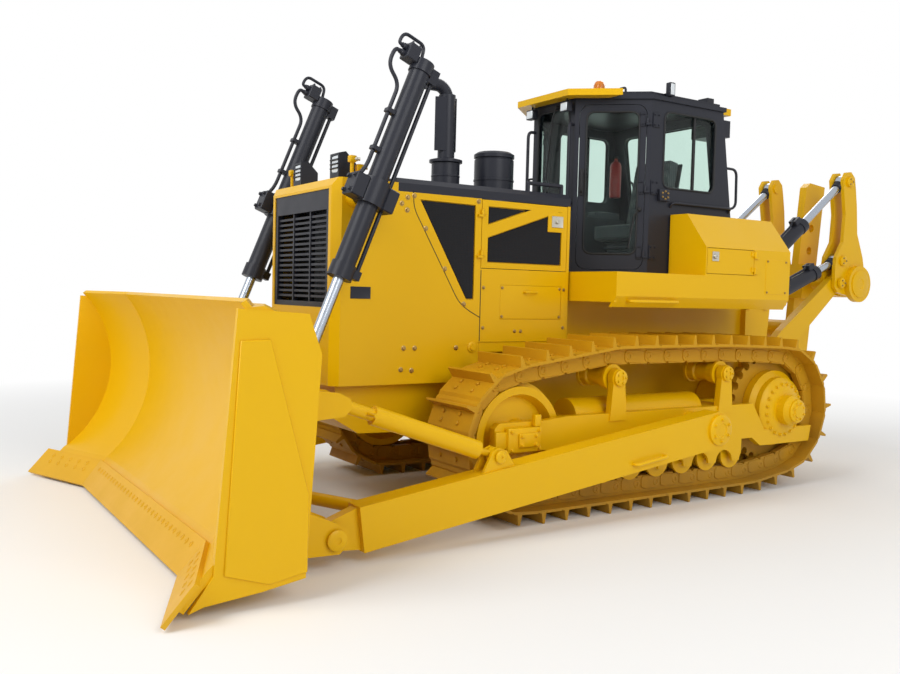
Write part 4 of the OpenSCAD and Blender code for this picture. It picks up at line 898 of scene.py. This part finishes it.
# %% [markdown]
# ## Side covers, latches and plates
# Below each engine door a pressed cover closes the recess. It is a plate whose field is
# raised by an inset, with a bail handle and four screws. A sill plate closes the gap to
# the frame, and a skirt the guard's lower corner. Rubber strips mark the seams round the
# vent. The engine doors have a round lock on a plate, and the guard carries a bare dark
# plate.

# %% Side covers, latches and plates
SEAMS = [[(3628, 2512), (3620, 2376), (3194, 1669), (3115, 1606), (2979, 1538)],
         [(2979, 1924), (2979, 1345)]]
COVER_SCREWS = [(2763, 1784), (2158, 1784), (2763, 1548), (2158, 1548)]
PLUG = [(44, 0), (44, 10), (38, 14), (26, 14), (26, 26)]
LOCK_BARREL = [(17, 0), (17, 12), (14, 15), (5, 15), (5, 11)]
for word, side in SIDES.items():
    out, door, wall = (0, side, 0), "engine_door_" + word, side * PANEL_Y
    cover = raised_plate("cover", on_side(side * 616.5, ring_of((2140, 1528), (2780, 1806))),
                         out, 8, 34, 5)
    handle = bent_tube("handle", [spot(x, side * y, 1752) for x, y in
                                  ((2420, 622), (2420, 662), (2540, 662), (2540, 622))], 8, 22)
    dress(joined("side_cover_" + word, [cover, handle]), "tractor", YELLOW)
    screws("cover_screws_" + word, on_side(wall, COVER_SCREWS), out, "tractor", PLATED, 10, 8)
    sill = plate("sill", on_side(side * 606, ring_of((2064, 1256), (2981, 1338))), 12, 3)
    skirt = plate("skirt", on_side(side * 611, ring_of((2983, 1040), (3262, 1345))), 12, 3)
    plug = turned_on("plug", PLUG, spot(3047, side * 615, 1298), out)
    seams = [bent_tube("seam", on_side(wall, seam), 3.5, 60) for seam in SEAMS]
    dress(joined("panel_seams_" + word, seams), "tractor", (black_rubber, "charcoal_paint"), 60)
    dress(joined("engine_sill_" + word, [sill, skirt, plug]), "tractor", YELLOW)
    back = plate("lock_back_" + word,
                 on_side(side * 616, ring_of((2146, 2268), (2300, 2438))), 10, 2)
    dress(back, door, YELLOW)
    lock = raised_plate("lock", on_side(side * 623, ring_of((2140, 2308), (2262, 2404))), out,
                        6, 9, -3)
    barrel = turned_on("barrel", LOCK_BARREL, spot(2200, side * 622, 2356), out)
    dress(joined("door_lock_" + word, [lock, barrel]), door, LOCK)
    bare = raised_plate("bare_plate_" + word,
                        on_side(side * 622, ring_of((3981, 1672), (4149, 1762))), out, 6, 7, -2)
    dress(bare, "tractor", CHARCOAL)

# %% [markdown]
# The tool box has a latch on its door and a screwed panel behind it, and a grab bar runs
# along the left fender.

# %% Tool box and fender
LEFT = (0, 1, 0)
latch = raised_plate("latch", on_side(1203, ring_of((838, 2068), (922, 2152))), LEFT, 8, 12, -4)
knob = turned_on("knob", [(20, 0), (22, 10), (18, 16), (8, 16), (8, 12)],
                 spot(880, 1200, 2110), LEFT)
dress(joined("box_latch", [latch, knob]), "box_door", LOCK)
for word, side in SIDES.items():
    out = (0, side, 0)
    panel = raised_plate("box_panel_" + word,
                         on_side(side * 1201, ring_of((-100, 1790), (196, 2110))), out, 6, 10, 1)
    dress(panel, "tractor", YELLOW)
    screws("box_screws_" + word, [spot(x, side * 1205, z) for x in (-82, 178)
                                  for z in (1808, 2092)], out, "tractor", PLATED, 8, 7)
bar = bent_tube("fender_grab_bar", [spot(x, y, 1700) for x, y in (
    (1889, 1165), (1889, 1240), (1355, 1240), (1355, 1165))], 14, 50)
dress(bar, "tractor", YELLOW, 60)

# %% [markdown]
# ## Lift cylinders
# Each lift cylinder hangs in a split yoke, clamped round the barrel by a cap with four
# bolts. Its head carries a port manifold, and a steel pipe bends from it to the barrel.
# Caps and clamps are thick plates, because their corners can lean with the cylinder.
# Places on it are given down its axis, forwards across it, and outwards.

# %% Places on the lift cylinders
LIFT_PIN, LIFT_Y = (4110, 2430), 860
LIFT_DOWN = Vector((750, 0, -1840)).normalized()
LIFT_AHEAD = Vector((-LIFT_DOWN.z, 0, LIFT_DOWN.x))
YOKE_BLOCKS = [((-80, 82), (90, 190), 150, 8), ((-80, -176), (90, -84), 150, 8),
               ((-1128, 70), (-1010, 168), 118, 6)]
PORT = [(24, 0), (24, 26), (19, 30), (19, 44)]
HEAD_PIPE = [(-1040, 200), (-1040, 250), (-900, 250), (-820, 118), (-160, 118), (-70, 150)]
HEAD_LOOP = [(-1090, 200), (-1090, 240), (-1180, 225), (-1180, 40), (-1050, 20)]
CLAMPS = [((u, 70), (u + 34, 140), 62, 4) for u in (-620, -320)]


def on_lift(u, v, w, side):
    """A place on a lift cylinder: down its axis from the yoke, forwards and outwards."""
    pin = spot(LIFT_PIN[0], side * (LIFT_Y + w), LIFT_PIN[1])
    return pin + (LIFT_DOWN * u + LIFT_AHEAD * v) * MM


def lift_block(low, high, thickness, bevel, side):
    """A block on a lift cylinder, between two corners along it and across it."""
    corners = [on_lift(u, v, 0, side) for u, v in ring_of(low, high)]
    return plate("lift_block", corners, thickness, bevel)


print("lift cylinders lean", round(math.degrees(LIFT_DOWN.angle(Vector((0, 0, -1)))), 1), "degrees")

# %% [markdown]
# Two supply pipes stand on the guard beside each cylinder. Each is a straight tube that
# ends in a bevelled block, its elbow, with a turned nut at the side.

# %% Supply pipes on the guard
ELBOWS, ELBOW_AIM = [(4125, 2688), (4062, 2628)], (-0.84, 0.54)
RISER_Y, RISER_FOOT, ELBOW_HALF = 560, 2555, 27
RISER_NUT = [(18, 0), (18, 18), (15, 22), (13, 22), (13, 40)]


def supply_pipes(word, side):
    """Two pipes with elbow blocks and nuts, on the guard beside a lift cylinder."""
    y, aim = side * RISER_Y, Vector((ELBOW_AIM[0], side * ELBOW_AIM[1], 0))
    risers, nuts = [], []
    for x, z in ELBOWS:
        risers.append(bent_tube("riser", [spot(x, y, RISER_FOOT), spot(x, y, z)], 15))
        risers.append(block("elbow", spot(x - ELBOW_HALF, y - ELBOW_HALF, z - 8),
                            spot(x + ELBOW_HALF, y + ELBOW_HALF, z + 44), 9))
        nuts.append(facing(spot(x, y, z + 18) + aim * 20 * MM, aim))
    dress(joined("lift_risers_" + word, risers), "tractor", YELLOW)
    dress(copies(turned("riser_nuts_" + word, RISER_NUT, 12), nuts), "tractor", LOCK)


print("supply pipes rise to", [z for x, z in ELBOWS], "mm")

# %% [markdown]
# With these, both cylinders are fitted in turn: the yoke with its pipes and clamps, its
# bolts, the supply pipes and the bolts of the head.

# %% Lift cylinders
for word, side in SIDES.items():
    yoke = [lift_block(*size, side) for size in YOKE_BLOCKS]
    yoke += [turned_on("port", PORT, on_lift(u, 166, 0, side), LIFT_AHEAD, 12)
             for u in (-1090, -1040)]
    yoke.append(bent_tube("head_pipe", [on_lift(u, v, 0, side) for u, v in HEAD_PIPE], 15, 70))
    yoke.append(bent_tube("head_loop", [on_lift(u, v, 0, side) for u, v in HEAD_LOOP], 13, 45))
    yoke += [lift_block(*size, side) for size in CLAMPS]
    dress(joined("lift_yoke_" + word, yoke), "lift_barrels", CHARCOAL)
    screws("yoke_bolts_" + word, [on_lift(u, 190, w, side) for u in (-50, 60)
                                  for w in (-48, 48)], LIFT_AHEAD, "lift_barrels",
           CHARCOAL, 15, 14)
    supply_pipes(word, side)
    screws("head_bolts_" + word, [on_lift(-1128, v, w, side) for v in (88, 150)
                                  for w in (-40, 40)], -LIFT_DOWN, "lift_barrels",
           CHARCOAL, 9, 8)

# %% [markdown]
# ## Exhaust and pre-cleaner
# The stack rises from a wide flanged base. A sleeve and two folded shields keep hands off
# the hot pipe. The pre-cleaner's drum is a rolled shell with a clamp band.

# %% Exhaust and pre-cleaner
STACK_X, DRUM_X = 2950, 2440
MASTS = [("stack_base", STACK_X, 2602, [(122, 0), (122, 120), (125, 124), (125, 134), (122, 138),
                                        (122, 238), (143, 246), (143, 268), (74, 286)]),
         ("stack_sleeve", STACK_X, 2884, [(58, 0), (73, 4), (73, 540), (58, 546)]),
         ("drum_shell", DRUM_X, 2606, [(170, 0), (176, 4), (176, 120), (181, 123), (181, 137),
                                       (176, 140), (176, 310), (168, 316)])]
for name, x, z, profile in MASTS:
    dress(standing(name, profile, spot(x, 0, z), 32), "tractor", CHARCOAL)
SHIELDS = [((40, 60), (124, 6)), ((-66, 46), (-100, -50))]
SHIELD_FOOT, SHIELD_TOP = 2943, 3400
shields = []
for a, b in SHIELDS:
    edges = ((a, SHIELD_FOOT), (b, SHIELD_FOOT), (b, SHIELD_TOP), (a, SHIELD_TOP))
    shields.append(plate("shield", [spot(STACK_X + x, y, z) for (x, y), z in edges], 7, 2))
dress(joined("stack_shields", shields), "tractor", CHARCOAL)

# %% [markdown]
# ## Track chain
# Each track is a chain of pinned links with a bolted shoe on every link. The route round
# idler, carrier rollers and sprocket is walked here again in the same steps as in the
# solid, which gives each pin's place.

# %% Route of the track
PIN_Z, IDLER, IDLER_R, SPROCKET, SPROCKET_R = 177, (3000, 647), 470, (0, 728), 490
CARRIER_TOPS, LIFT_OFF, SHOES, TRACK_Y = [(805, 1248), (2080, 1248)], (430, 177), 40, 1070
STEPS = 400


def on_arc(centre, radius, angle):
    """A point on a circle of the track's route."""
    return Vector((centre[0] + radius * math.cos(angle), centre[1] + radius * math.sin(angle)))


def tangent(centre, radius, point, turn):
    """The angle on a circle where a straight run to a point leaves it."""
    gap = Vector(point) - Vector(centre)
    return math.atan2(gap.y, gap.x) + turn * math.acos(radius / gap.length)


def arc(centre, radius, start, end):
    """Points along a circle from one angle to another."""
    return [on_arc(centre, radius, start + (end - start) * i / STEPS) for i in range(STEPS + 1)]


leave_idler = tangent(IDLER, IDLER_R, CARRIER_TOPS[1], -1)
meet = tangent(SPROCKET, SPROCKET_R, CARRIER_TOPS[0], 1)
leave_sprocket = math.tau + tangent(SPROCKET, SPROCKET_R, LIFT_OFF, -1)
walk = arc(IDLER, IDLER_R, -math.pi / 2, leave_idler)
walk += [Vector(CARRIER_TOPS[1]), Vector(CARRIER_TOPS[0])]
walk += arc(SPROCKET, SPROCKET_R, meet, leave_sprocket)
walk += [Vector(LIFT_OFF), Vector((IDLER[0], PIN_Z))]
length = sum((b - a).length for a, b in zip(walk, walk[1:]))


def walked(distance):
    """The point at a distance along the track's route."""
    for a, b in zip(walk, walk[1:]):
        run = (b - a).length
        if distance <= run:
            return a + (b - a) * (distance / max(run, 1e-9))
        distance -= run
    return walk[-1]


pins = [walked((k + 0.5) * length / SHOES) for k in range(SHOES)]
LINKS = [(pins[k], pins[(k + 1) % SHOES]) for k in range(SHOES)]
print("track route", round(length), "mm, pitch", round(length / SHOES, 1), "mm")

# %% [markdown]
# A side bar, a pin head and four shoe bolts are modelled once with few faces and copied
# to every link, because eighty links of finer ones would be heavy.

# %% Track chain
def on_links(piece, side, y, u, out, tilt):
    """Copies of a piece at a place of every link: sideways, along the link, outwards."""
    spots = []
    for a, b in LINKS:
        along = (b - a).normalized()
        away = Vector((along.y, -along.x))
        place = a + along * u + away * out
        axes = Matrix((Vector((along.x, 0, along.y)), Vector((0, 1, 0)),
                       Vector((-away.x, 0, -away.y))))
        turn = axes.transposed().to_4x4()
        centre = spot(place.x, side * TRACK_Y + y, place.y)
        spots.append(Matrix.Translation(centre) @ turn @ tilt)
    return copies(piece, spots)


UPRIGHT = Matrix.Rotation(math.pi, 4, "X")
SIDEWAYS = {s: Matrix.Rotation(-s * math.pi / 2, 4, "X") for s in (1, -1)}
PIN_HEAD = [(33, 0), (33, 8), (26, 13), (16, 13), (16, 9)]
SIDE_BAR = [(-44, -28), (-28, -50), (120, -52), (166, -34), (166, 34), (148, 60), (-28, 50),
            (-44, 26)]
SHOE_BOLT = [(17, 0), (17, 12), (12, 15)]
for word, side in SIDES.items():
    rows = []
    for face in (1, -1):
        head = turned("pin_head", PIN_HEAD, 14)
        rows.append(on_links(head, side, face * 139, 0, 0, SIDEWAYS[face]))
        bar = plate("side_bar", [Vector((x * MM, 0, z * MM)) for x, z in SIDE_BAR], 12, 3)
        rows.append(on_links(bar, side, face * 141, 0, 0, Matrix.Identity(4)))
    dress(joined("chain_links_" + word, rows), "tractor", TRACK_WITH_PAINTED_SHADE)
    bolts = [on_links(turned("shoe_bolt", SHOE_BOLT, 6), side, y, u, 96, UPRIGHT)
             for y in (-110, 110) for u in (56, 126)]
    dress(joined("shoe_bolts_" + word, bolts), "tractor", TRACK_WITH_PAINTED_SHADE, 20)

# %% [markdown]
# ## Rollers, idler and final drive
# The idler's axle rides in a block on the track frame, bolted by a cap. Carrier rollers
# and final drives end in covers with a ring of bolts. The arms' trunnions have round
# caps, and each arm carries a bent bar for tying the machine down.

# %% Rollers, idler and final drive
CARRIERS, CARRIER_Z, TRUNNION = (805, 2080), 1083, (1231, 655)
HOUSING = [((2890, 1300, 560), (3200, 1352, 745), 10), ((2935, 1350, 600), (3110, 1372, 705), 8),
           ((2890, 1300, 745), (2950, 1346, 836), 8), ((3196, 1300, 590), (3300, 1334, 720), 10)]
IDLER_BOLTS = [(x, 1352, z) for x in (2913, 3168) for z in (585, 720)]
IDLER_BOLTS += [(x, 1372, z) for x in (2957, 3088) for z in (620, 685)]
CARRIER_CAP = [(66, 0), (66, 22), (54, 30), (20, 30), (20, 24)]
DRIVE_COVER = [(297, 0), (297, 50), (286, 62), (200, 104), (150, 112)]
DRIVE_CAP = [(106, 0), (106, 16), (94, 24), (60, 24), (56, 34), (30, 36)]
TRUNNION_CAP = [(128, 0), (128, 20), (112, 30), (60, 30), (54, 22)]
EYE_CAP = [(66, 0), (66, 14), (52, 22), (22, 22), (22, 16)]
CLEVIS_CAP = [(44, 0), (44, 10), (34, 16), (12, 16), (12, 10)]
TIE_BAR = [(2195, 1610, 448), (2195, 1668, 448), (1870, 1668, 490), (1870, 1610, 490)]


def mirrored(place, side):
    """A place of the left side, on that side."""
    return spot(place[0], side * place[1], place[2])


def side_cap(name, centre, y, side, profile, body):
    """A turned cap on a side face."""
    cap = turned_on(name, profile, spot(centre[0], side * y, centre[1]), (0, side, 0), 32)
    return dress(cap, body, YELLOW)


def bolt_ring(name, centre, radius, count, y, side, body, look, across, head):
    """Bolts round a centre on a side face."""
    ring = [on_arc(centre, radius, math.tau * (i + 0.5) / count) for i in range(count)]
    screws(name, on_side(side * y, ring), (0, side, 0), body, look, across, head)


for word, side in SIDES.items():
    arm = "push_arm_" + word
    housing = [block("housing", mirrored(low, side), mirrored(high, side), bevel)
               for low, high, bevel in HOUSING]
    dress(joined("idler_block_" + word, housing), "tractor", YELLOW)
    screws("idler_bolts_" + word, [mirrored(place, side) for place in IDLER_BOLTS],
           (0, side, 0), "tractor", YELLOW, 13, 12)
    for i, x in enumerate(CARRIERS):
        side_cap(f"carrier_cap_{i}_{word}", (x, CARRIER_Z), 1314, side, CARRIER_CAP, "tractor")
        bolt_ring(f"carrier_bolts_{i}_{word}", (x, CARRIER_Z), 44, 5, 1340, side, "tractor",
                  YELLOW, 8, 8)
    side_cap("drive_cover_" + word, SPROCKET, 1222, side, DRIVE_COVER, "tractor")
    side_cap("drive_cap_" + word, SPROCKET, 1449, side, DRIVE_CAP, "tractor")
    bolt_ring("drive_bolts_" + word, SPROCKET, 77, 8, 1471, side, "tractor", YELLOW, 10, 9)
    bolt_ring("drive_ring_" + word, SPROCKET, 235, 20, 1310, side, "tractor", YELLOW, 13, 12)
    side_cap("trunnion_cap_" + word, TRUNNION, 1619, side, TRUNNION_CAP, arm)
    bolt_ring("trunnion_bolts_" + word, TRUNNION, 90, 6, 1648, side, arm, YELLOW, 13, 12)
    tie = bent_tube("tie_bar_" + word, [mirrored(place, side) for place in TIE_BAR], 13, 30)
    dress(tie, arm, YELLOW, 60)
    side_cap("eye_cap_" + word, (4729, 191), 1664, side, EYE_CAP, "blade")
    side_cap("clevis_cap_" + word, (3456, 600), 1611, side, CLEVIS_CAP, arm)

# %% [markdown]
# ## Blade
# The cutting edge is bolted on with flush plow bolts, in one row along the middle and in
# pairs along both end bits. A second plate stiffens each end of the blade. Places on an
# end bit turn with the wing about the fold.

# %% Blade
EDGE_TIP, FOLD_Y = (5611, 14), 1400
EDGE_ROOT = on_arc((6040, 1024), 992, math.radians(231.3))
EDGE_DOWN = (Vector(EDGE_TIP) - EDGE_ROOT).normalized()
EDGE_UP = Vector((-EDGE_DOWN.y, EDGE_DOWN.x))
WING = math.radians(21.6)
COS, SIN = math.cos(WING), math.sin(WING)


def on_edge(u, h, y):
    """A place and its outward direction on the cutting edge: down its slope, up, and across."""
    p = EDGE_ROOT + EDGE_DOWN * u + EDGE_UP * h
    over = abs(y) - FOLD_Y
    if over <= 0:
        return spot(p.x, y, p.y), Vector((EDGE_UP.x, 0, EDGE_UP.y))
    x = p.x - EDGE_TIP[0]
    side = math.copysign(1, y)
    place = spot(EDGE_TIP[0] + x * COS + over * SIN, side * (FOLD_Y - x * SIN + over * COS), p.y)
    return place, Vector((EDGE_UP.x * COS, -side * EDGE_UP.x * SIN, EDGE_UP.y))


plow = turned("plow_bolts", [(21, 0), (21, 2.5), (17, 4.5), (9, 4.5), (9, 2)], 16)
rows = [i * 88 + 44 for i in range(15)] + [FOLD_Y + v for v in (120, 250, 380, 510, 640)]
spots = [facing(*on_edge(u, 28, s * y)) for y in rows for s in (1, -1)
         for u in ((105, 165) if y > FOLD_Y else (120,))]
dress(copies(plow, spots), "blade", (edge_enamel, "edge_steel"))
END_PLATE = [(5512, 1455), (5345, 1462), (5108, 598), (5110, 165), (5332, 128), (5585, 210)]
for word, side in SIDES.items():
    dress(plate("end_cheek_" + word, on_side(side * 2081, END_PLATE), 14, 4), "blade", YELLOW)

# %% [markdown]
# ## Ripper
# Every ripper pin is held by a round cap with lock bolts on its outer ear. Each ripper
# cylinder has a port block near its gland and a steel pipe along the barrel, clamped in
# the middle, and its rod a dark collar behind the eye. Places on a cylinder are given
# along it, up from it and sideways.

# %% Ripper
LINK_Y, EAR_FACE = 475, 565
PIN_CAP = [(54, 0), (54, 9), (44, 15), (15, 15), (15, 10)]
COLLAR = [(44, 0), (54, 4), (58, 10), (58, 50), (66, 62)]
TILT_BASE, TILT_END, LIFT_BASE, LIFT_END = (-580, 2015), (-1960, 3060), (-620, 1686), (-1900, 2190)
CAPS = [("arm_base", (-500, 900), "tractor", 15), ("lift_base", LIFT_BASE, "tractor", 15),
        ("tilt_base", TILT_BASE, "ripper_tilt_pins", 24),
        ("arm_end", (-1880, 1945), "ripper_pins", 24),
        ("lift_end", LIFT_END, "ripper_beam", 14), ("tilt_end", TILT_END, "ripper_beam", 14)]
RAMS = [("ripper_tilt", TILT_BASE, TILT_END, 860), ("ripper_lift", LIFT_BASE, LIFT_END, 960)]


def on_ram(base, tip, u, v, side):
    """A place on a ripper cylinder: along it from its base pin and up, in millimetres."""
    along = (Vector(tip) - Vector(base)).normalized()
    up = Vector((along.y, -along.x)) if along.x < 0 else Vector((-along.y, along.x))
    p = Vector(base) + along * u + up * v
    return spot(p.x, side * LINK_Y, p.y)


def dress_ram(name, base, tip, gland, word, side):
    """The port blocks, pipe and clamp of a ripper cylinder, and the collar of its rod."""
    blocks = [((gland - 96, 60), (gland, 124), 92, 6), ((190, 66), (250, 112), 70, 4),
              ((gland / 2 + 60, 60), (gland / 2 + 96, 108), 46, 4)]
    port_a, port_b, clamp = [
        plate("port", [on_ram(base, tip, u, v, side) for u, v in ring_of(low, high)], thick, bevel)
        for low, high, thick, bevel in blocks]
    route = [(gland - 35, 100), (gland - 35, 132), (gland - 130, 92), (330, 92), (220, 130),
             (220, 100)]
    pipe = bent_tube("pipe", [on_ram(base, tip, u, v, side) for u, v in route], 12, 45)
    barrels, rods = name + "_barrels", name + "_rods"
    dress(joined(f"{barrels}_pipe_{word}", [port_a, port_b, pipe, clamp]), barrels, CHARCOAL)
    reach = (Vector(tip) - Vector(base)).length
    along = on_ram(base, tip, reach, 0, side) - on_ram(base, tip, 0, 0, side)
    collar = turned_on(f"{rods}_collar_{word}", COLLAR,
                       on_ram(base, tip, reach - 132, 0, side), along)
    dress(collar, rods, CHARCOAL)


for word, side in SIDES.items():
    for name, centre, body, rise in CAPS:
        face = EAR_FACE + rise
        side_cap(f"{name}_cap_{word}", centre, face - 1, side, PIN_CAP, body)
        bolt_ring(f"{name}_bolts_{word}", centre, 32, 3, face + 13, side, body, PLATED, 8, 7)
    for ram in RAMS:
        dress_ram(*ram, word, side)
rims = turned("beam_discs", [(150, 0), (150, 10), (138, 14), (60, 14), (52, 8)], 36)
dress(copies(rims, [facing(spot(-2150, s * 624, 1940), (0, s, 0)) for s in SIDES.values()]),
      "ripper_beam", YELLOW)

# %% [markdown]
# ## Driver's seat
# The seat has a sprung base under folded bellows, a cushion and a backrest. A cushion is
# a cube cut into many faces, crowned in the middle, pulled down along a seam and smoothed;
# foam under a tight cover takes this form. It replaces the plain block of the solid.

# %% Driver's seat
SEAM_MM, SEAM_IN, SEAM_OUT = 9, 0.60, 0.70


def cushion(name, size, crown, matrix):
    """A closed, crowned cushion with a sewn seam, its length, width and height in millimetres."""
    piece = lone(bpy.ops.mesh.primitive_cube_add, name, size=1)
    edit(piece)
    bpy.ops.mesh.subdivide(number_cuts=15)
    leave()
    for vertex in piece.data.vertices:
        a, b, c = (2 * v for v in vertex.co)
        seam = SEAM_MM if SEAM_IN < max(abs(a), abs(b)) < SEAM_OUT else 0
        swell = crown * (1 - a * a) * (1 - b * b) - seam
        vertex.co = Vector((size[0] * a / 2, size[1] * b / 2,
                            size[2] * c / 2 + swell * max(c, 0))) * MM
    modify(piece, "SMOOTH", factor=0.5, iterations=3)
    modify(piece, "SUBSURF", levels=1)
    return copies(piece, [matrix])


LEAN_UP, LEAN_AHEAD = Vector((-0.185, 0, 0.983)), Vector((0.983, 0, 0.185))
lean = Matrix((LEAN_UP, LEAN_AHEAD.cross(LEAN_UP), LEAN_AHEAD)).transposed().to_4x4()
pads = [cushion("seat_cushion", (520, 510, 130), 22, Matrix.Translation(spot(755, 0, 2365))),
        cushion("seat_back", (640, 490, 105), 20,
                Matrix.Translation(spot(478, 0, 2772)) @ lean)]
pads += [cushion("arm_rest_" + word, (330, 130, 70), 10,
                 Matrix.Translation(spot(720, side * 440, 2562))) for word, side in SIDES.items()]
for pad in pads:
    dress(pad, "tractor", CLOTH, 80)
FOLD = 30
folds = [block("fold", spot(580 + s, -185 + s, z), spot(940 - s, 185 - s, z + FOLD), 9)
         for z, s in zip(range(2080, 2290, FOLD), (0, 22) * 4)]
foot = block("seat_foot", spot(565, -195, 1971), spot(955, 195, 2082), 12)
pan = block("seat_pan", spot(505, -240, 2284), spot(1000, 240, 2312), 8)
shell = plate("seat_shell", [spot(428, y, 2440) + LEAN_UP * h * MM for y, h in
                             ring_of((-235, 0), (235, 640))], 24, 6)
base = dress(joined("seat_base", [foot, pan, shell] + folds), "tractor", PLASTIC)
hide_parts("cab_seat")

# %% [markdown]
# ## Controls
# A lever with a rubber boot stands on each console, a screen on the dashboard, and a red
# extinguisher hangs on the right pillar. They show through the glass, so they are kept
# simple.

# %% Controls
BOOT = [(52, 0), (52, 8), (40, 14), (42, 22), (30, 30), (32, 38), (18, 46), (12, 48)]
GRIP = [(9, 0), (9, 60), (20, 72), (24, 110), (26, 150), (20, 172), (8, 178)]
BOTTLE = [(50, 0), (60, 8), (60, 330), (48, 366), (24, 384), (18, 390), (18, 412)]
VALVE = [(16, 0), (22, 6), (22, 30), (10, 36)]
for word, side in SIDES.items():
    y = side * 430
    dress(standing("lever_boot_" + word, BOOT, spot(1000, y, 2529), 20), "tractor", RUBBER)
    dress(standing("lever_grip_" + word, GRIP, spot(1000, y, 2572), 20), "tractor", PLASTIC)
screen = raised_plate("screen", on_front(1545, 0, (-120, 2500), (120, 2660)), (-1, 0, 0),
                      30, 12, -5)
stalk = bent_tube("stalk", on_side(0, [(1620, 2470), (1600, 2560), (1555, 2580)]), 14, 30)
dress(joined("dash_screen", [screen, stalk]), "tractor", PLASTIC)
dress(standing("extinguisher", BOTTLE, spot(460, -560, 2780), 28), "tractor",
      (red_enamel, "seat_cloth"))
dress(standing("extinguisher_valve", VALVE, spot(460, -560, 3188), 12), "tractor", RUBBER)
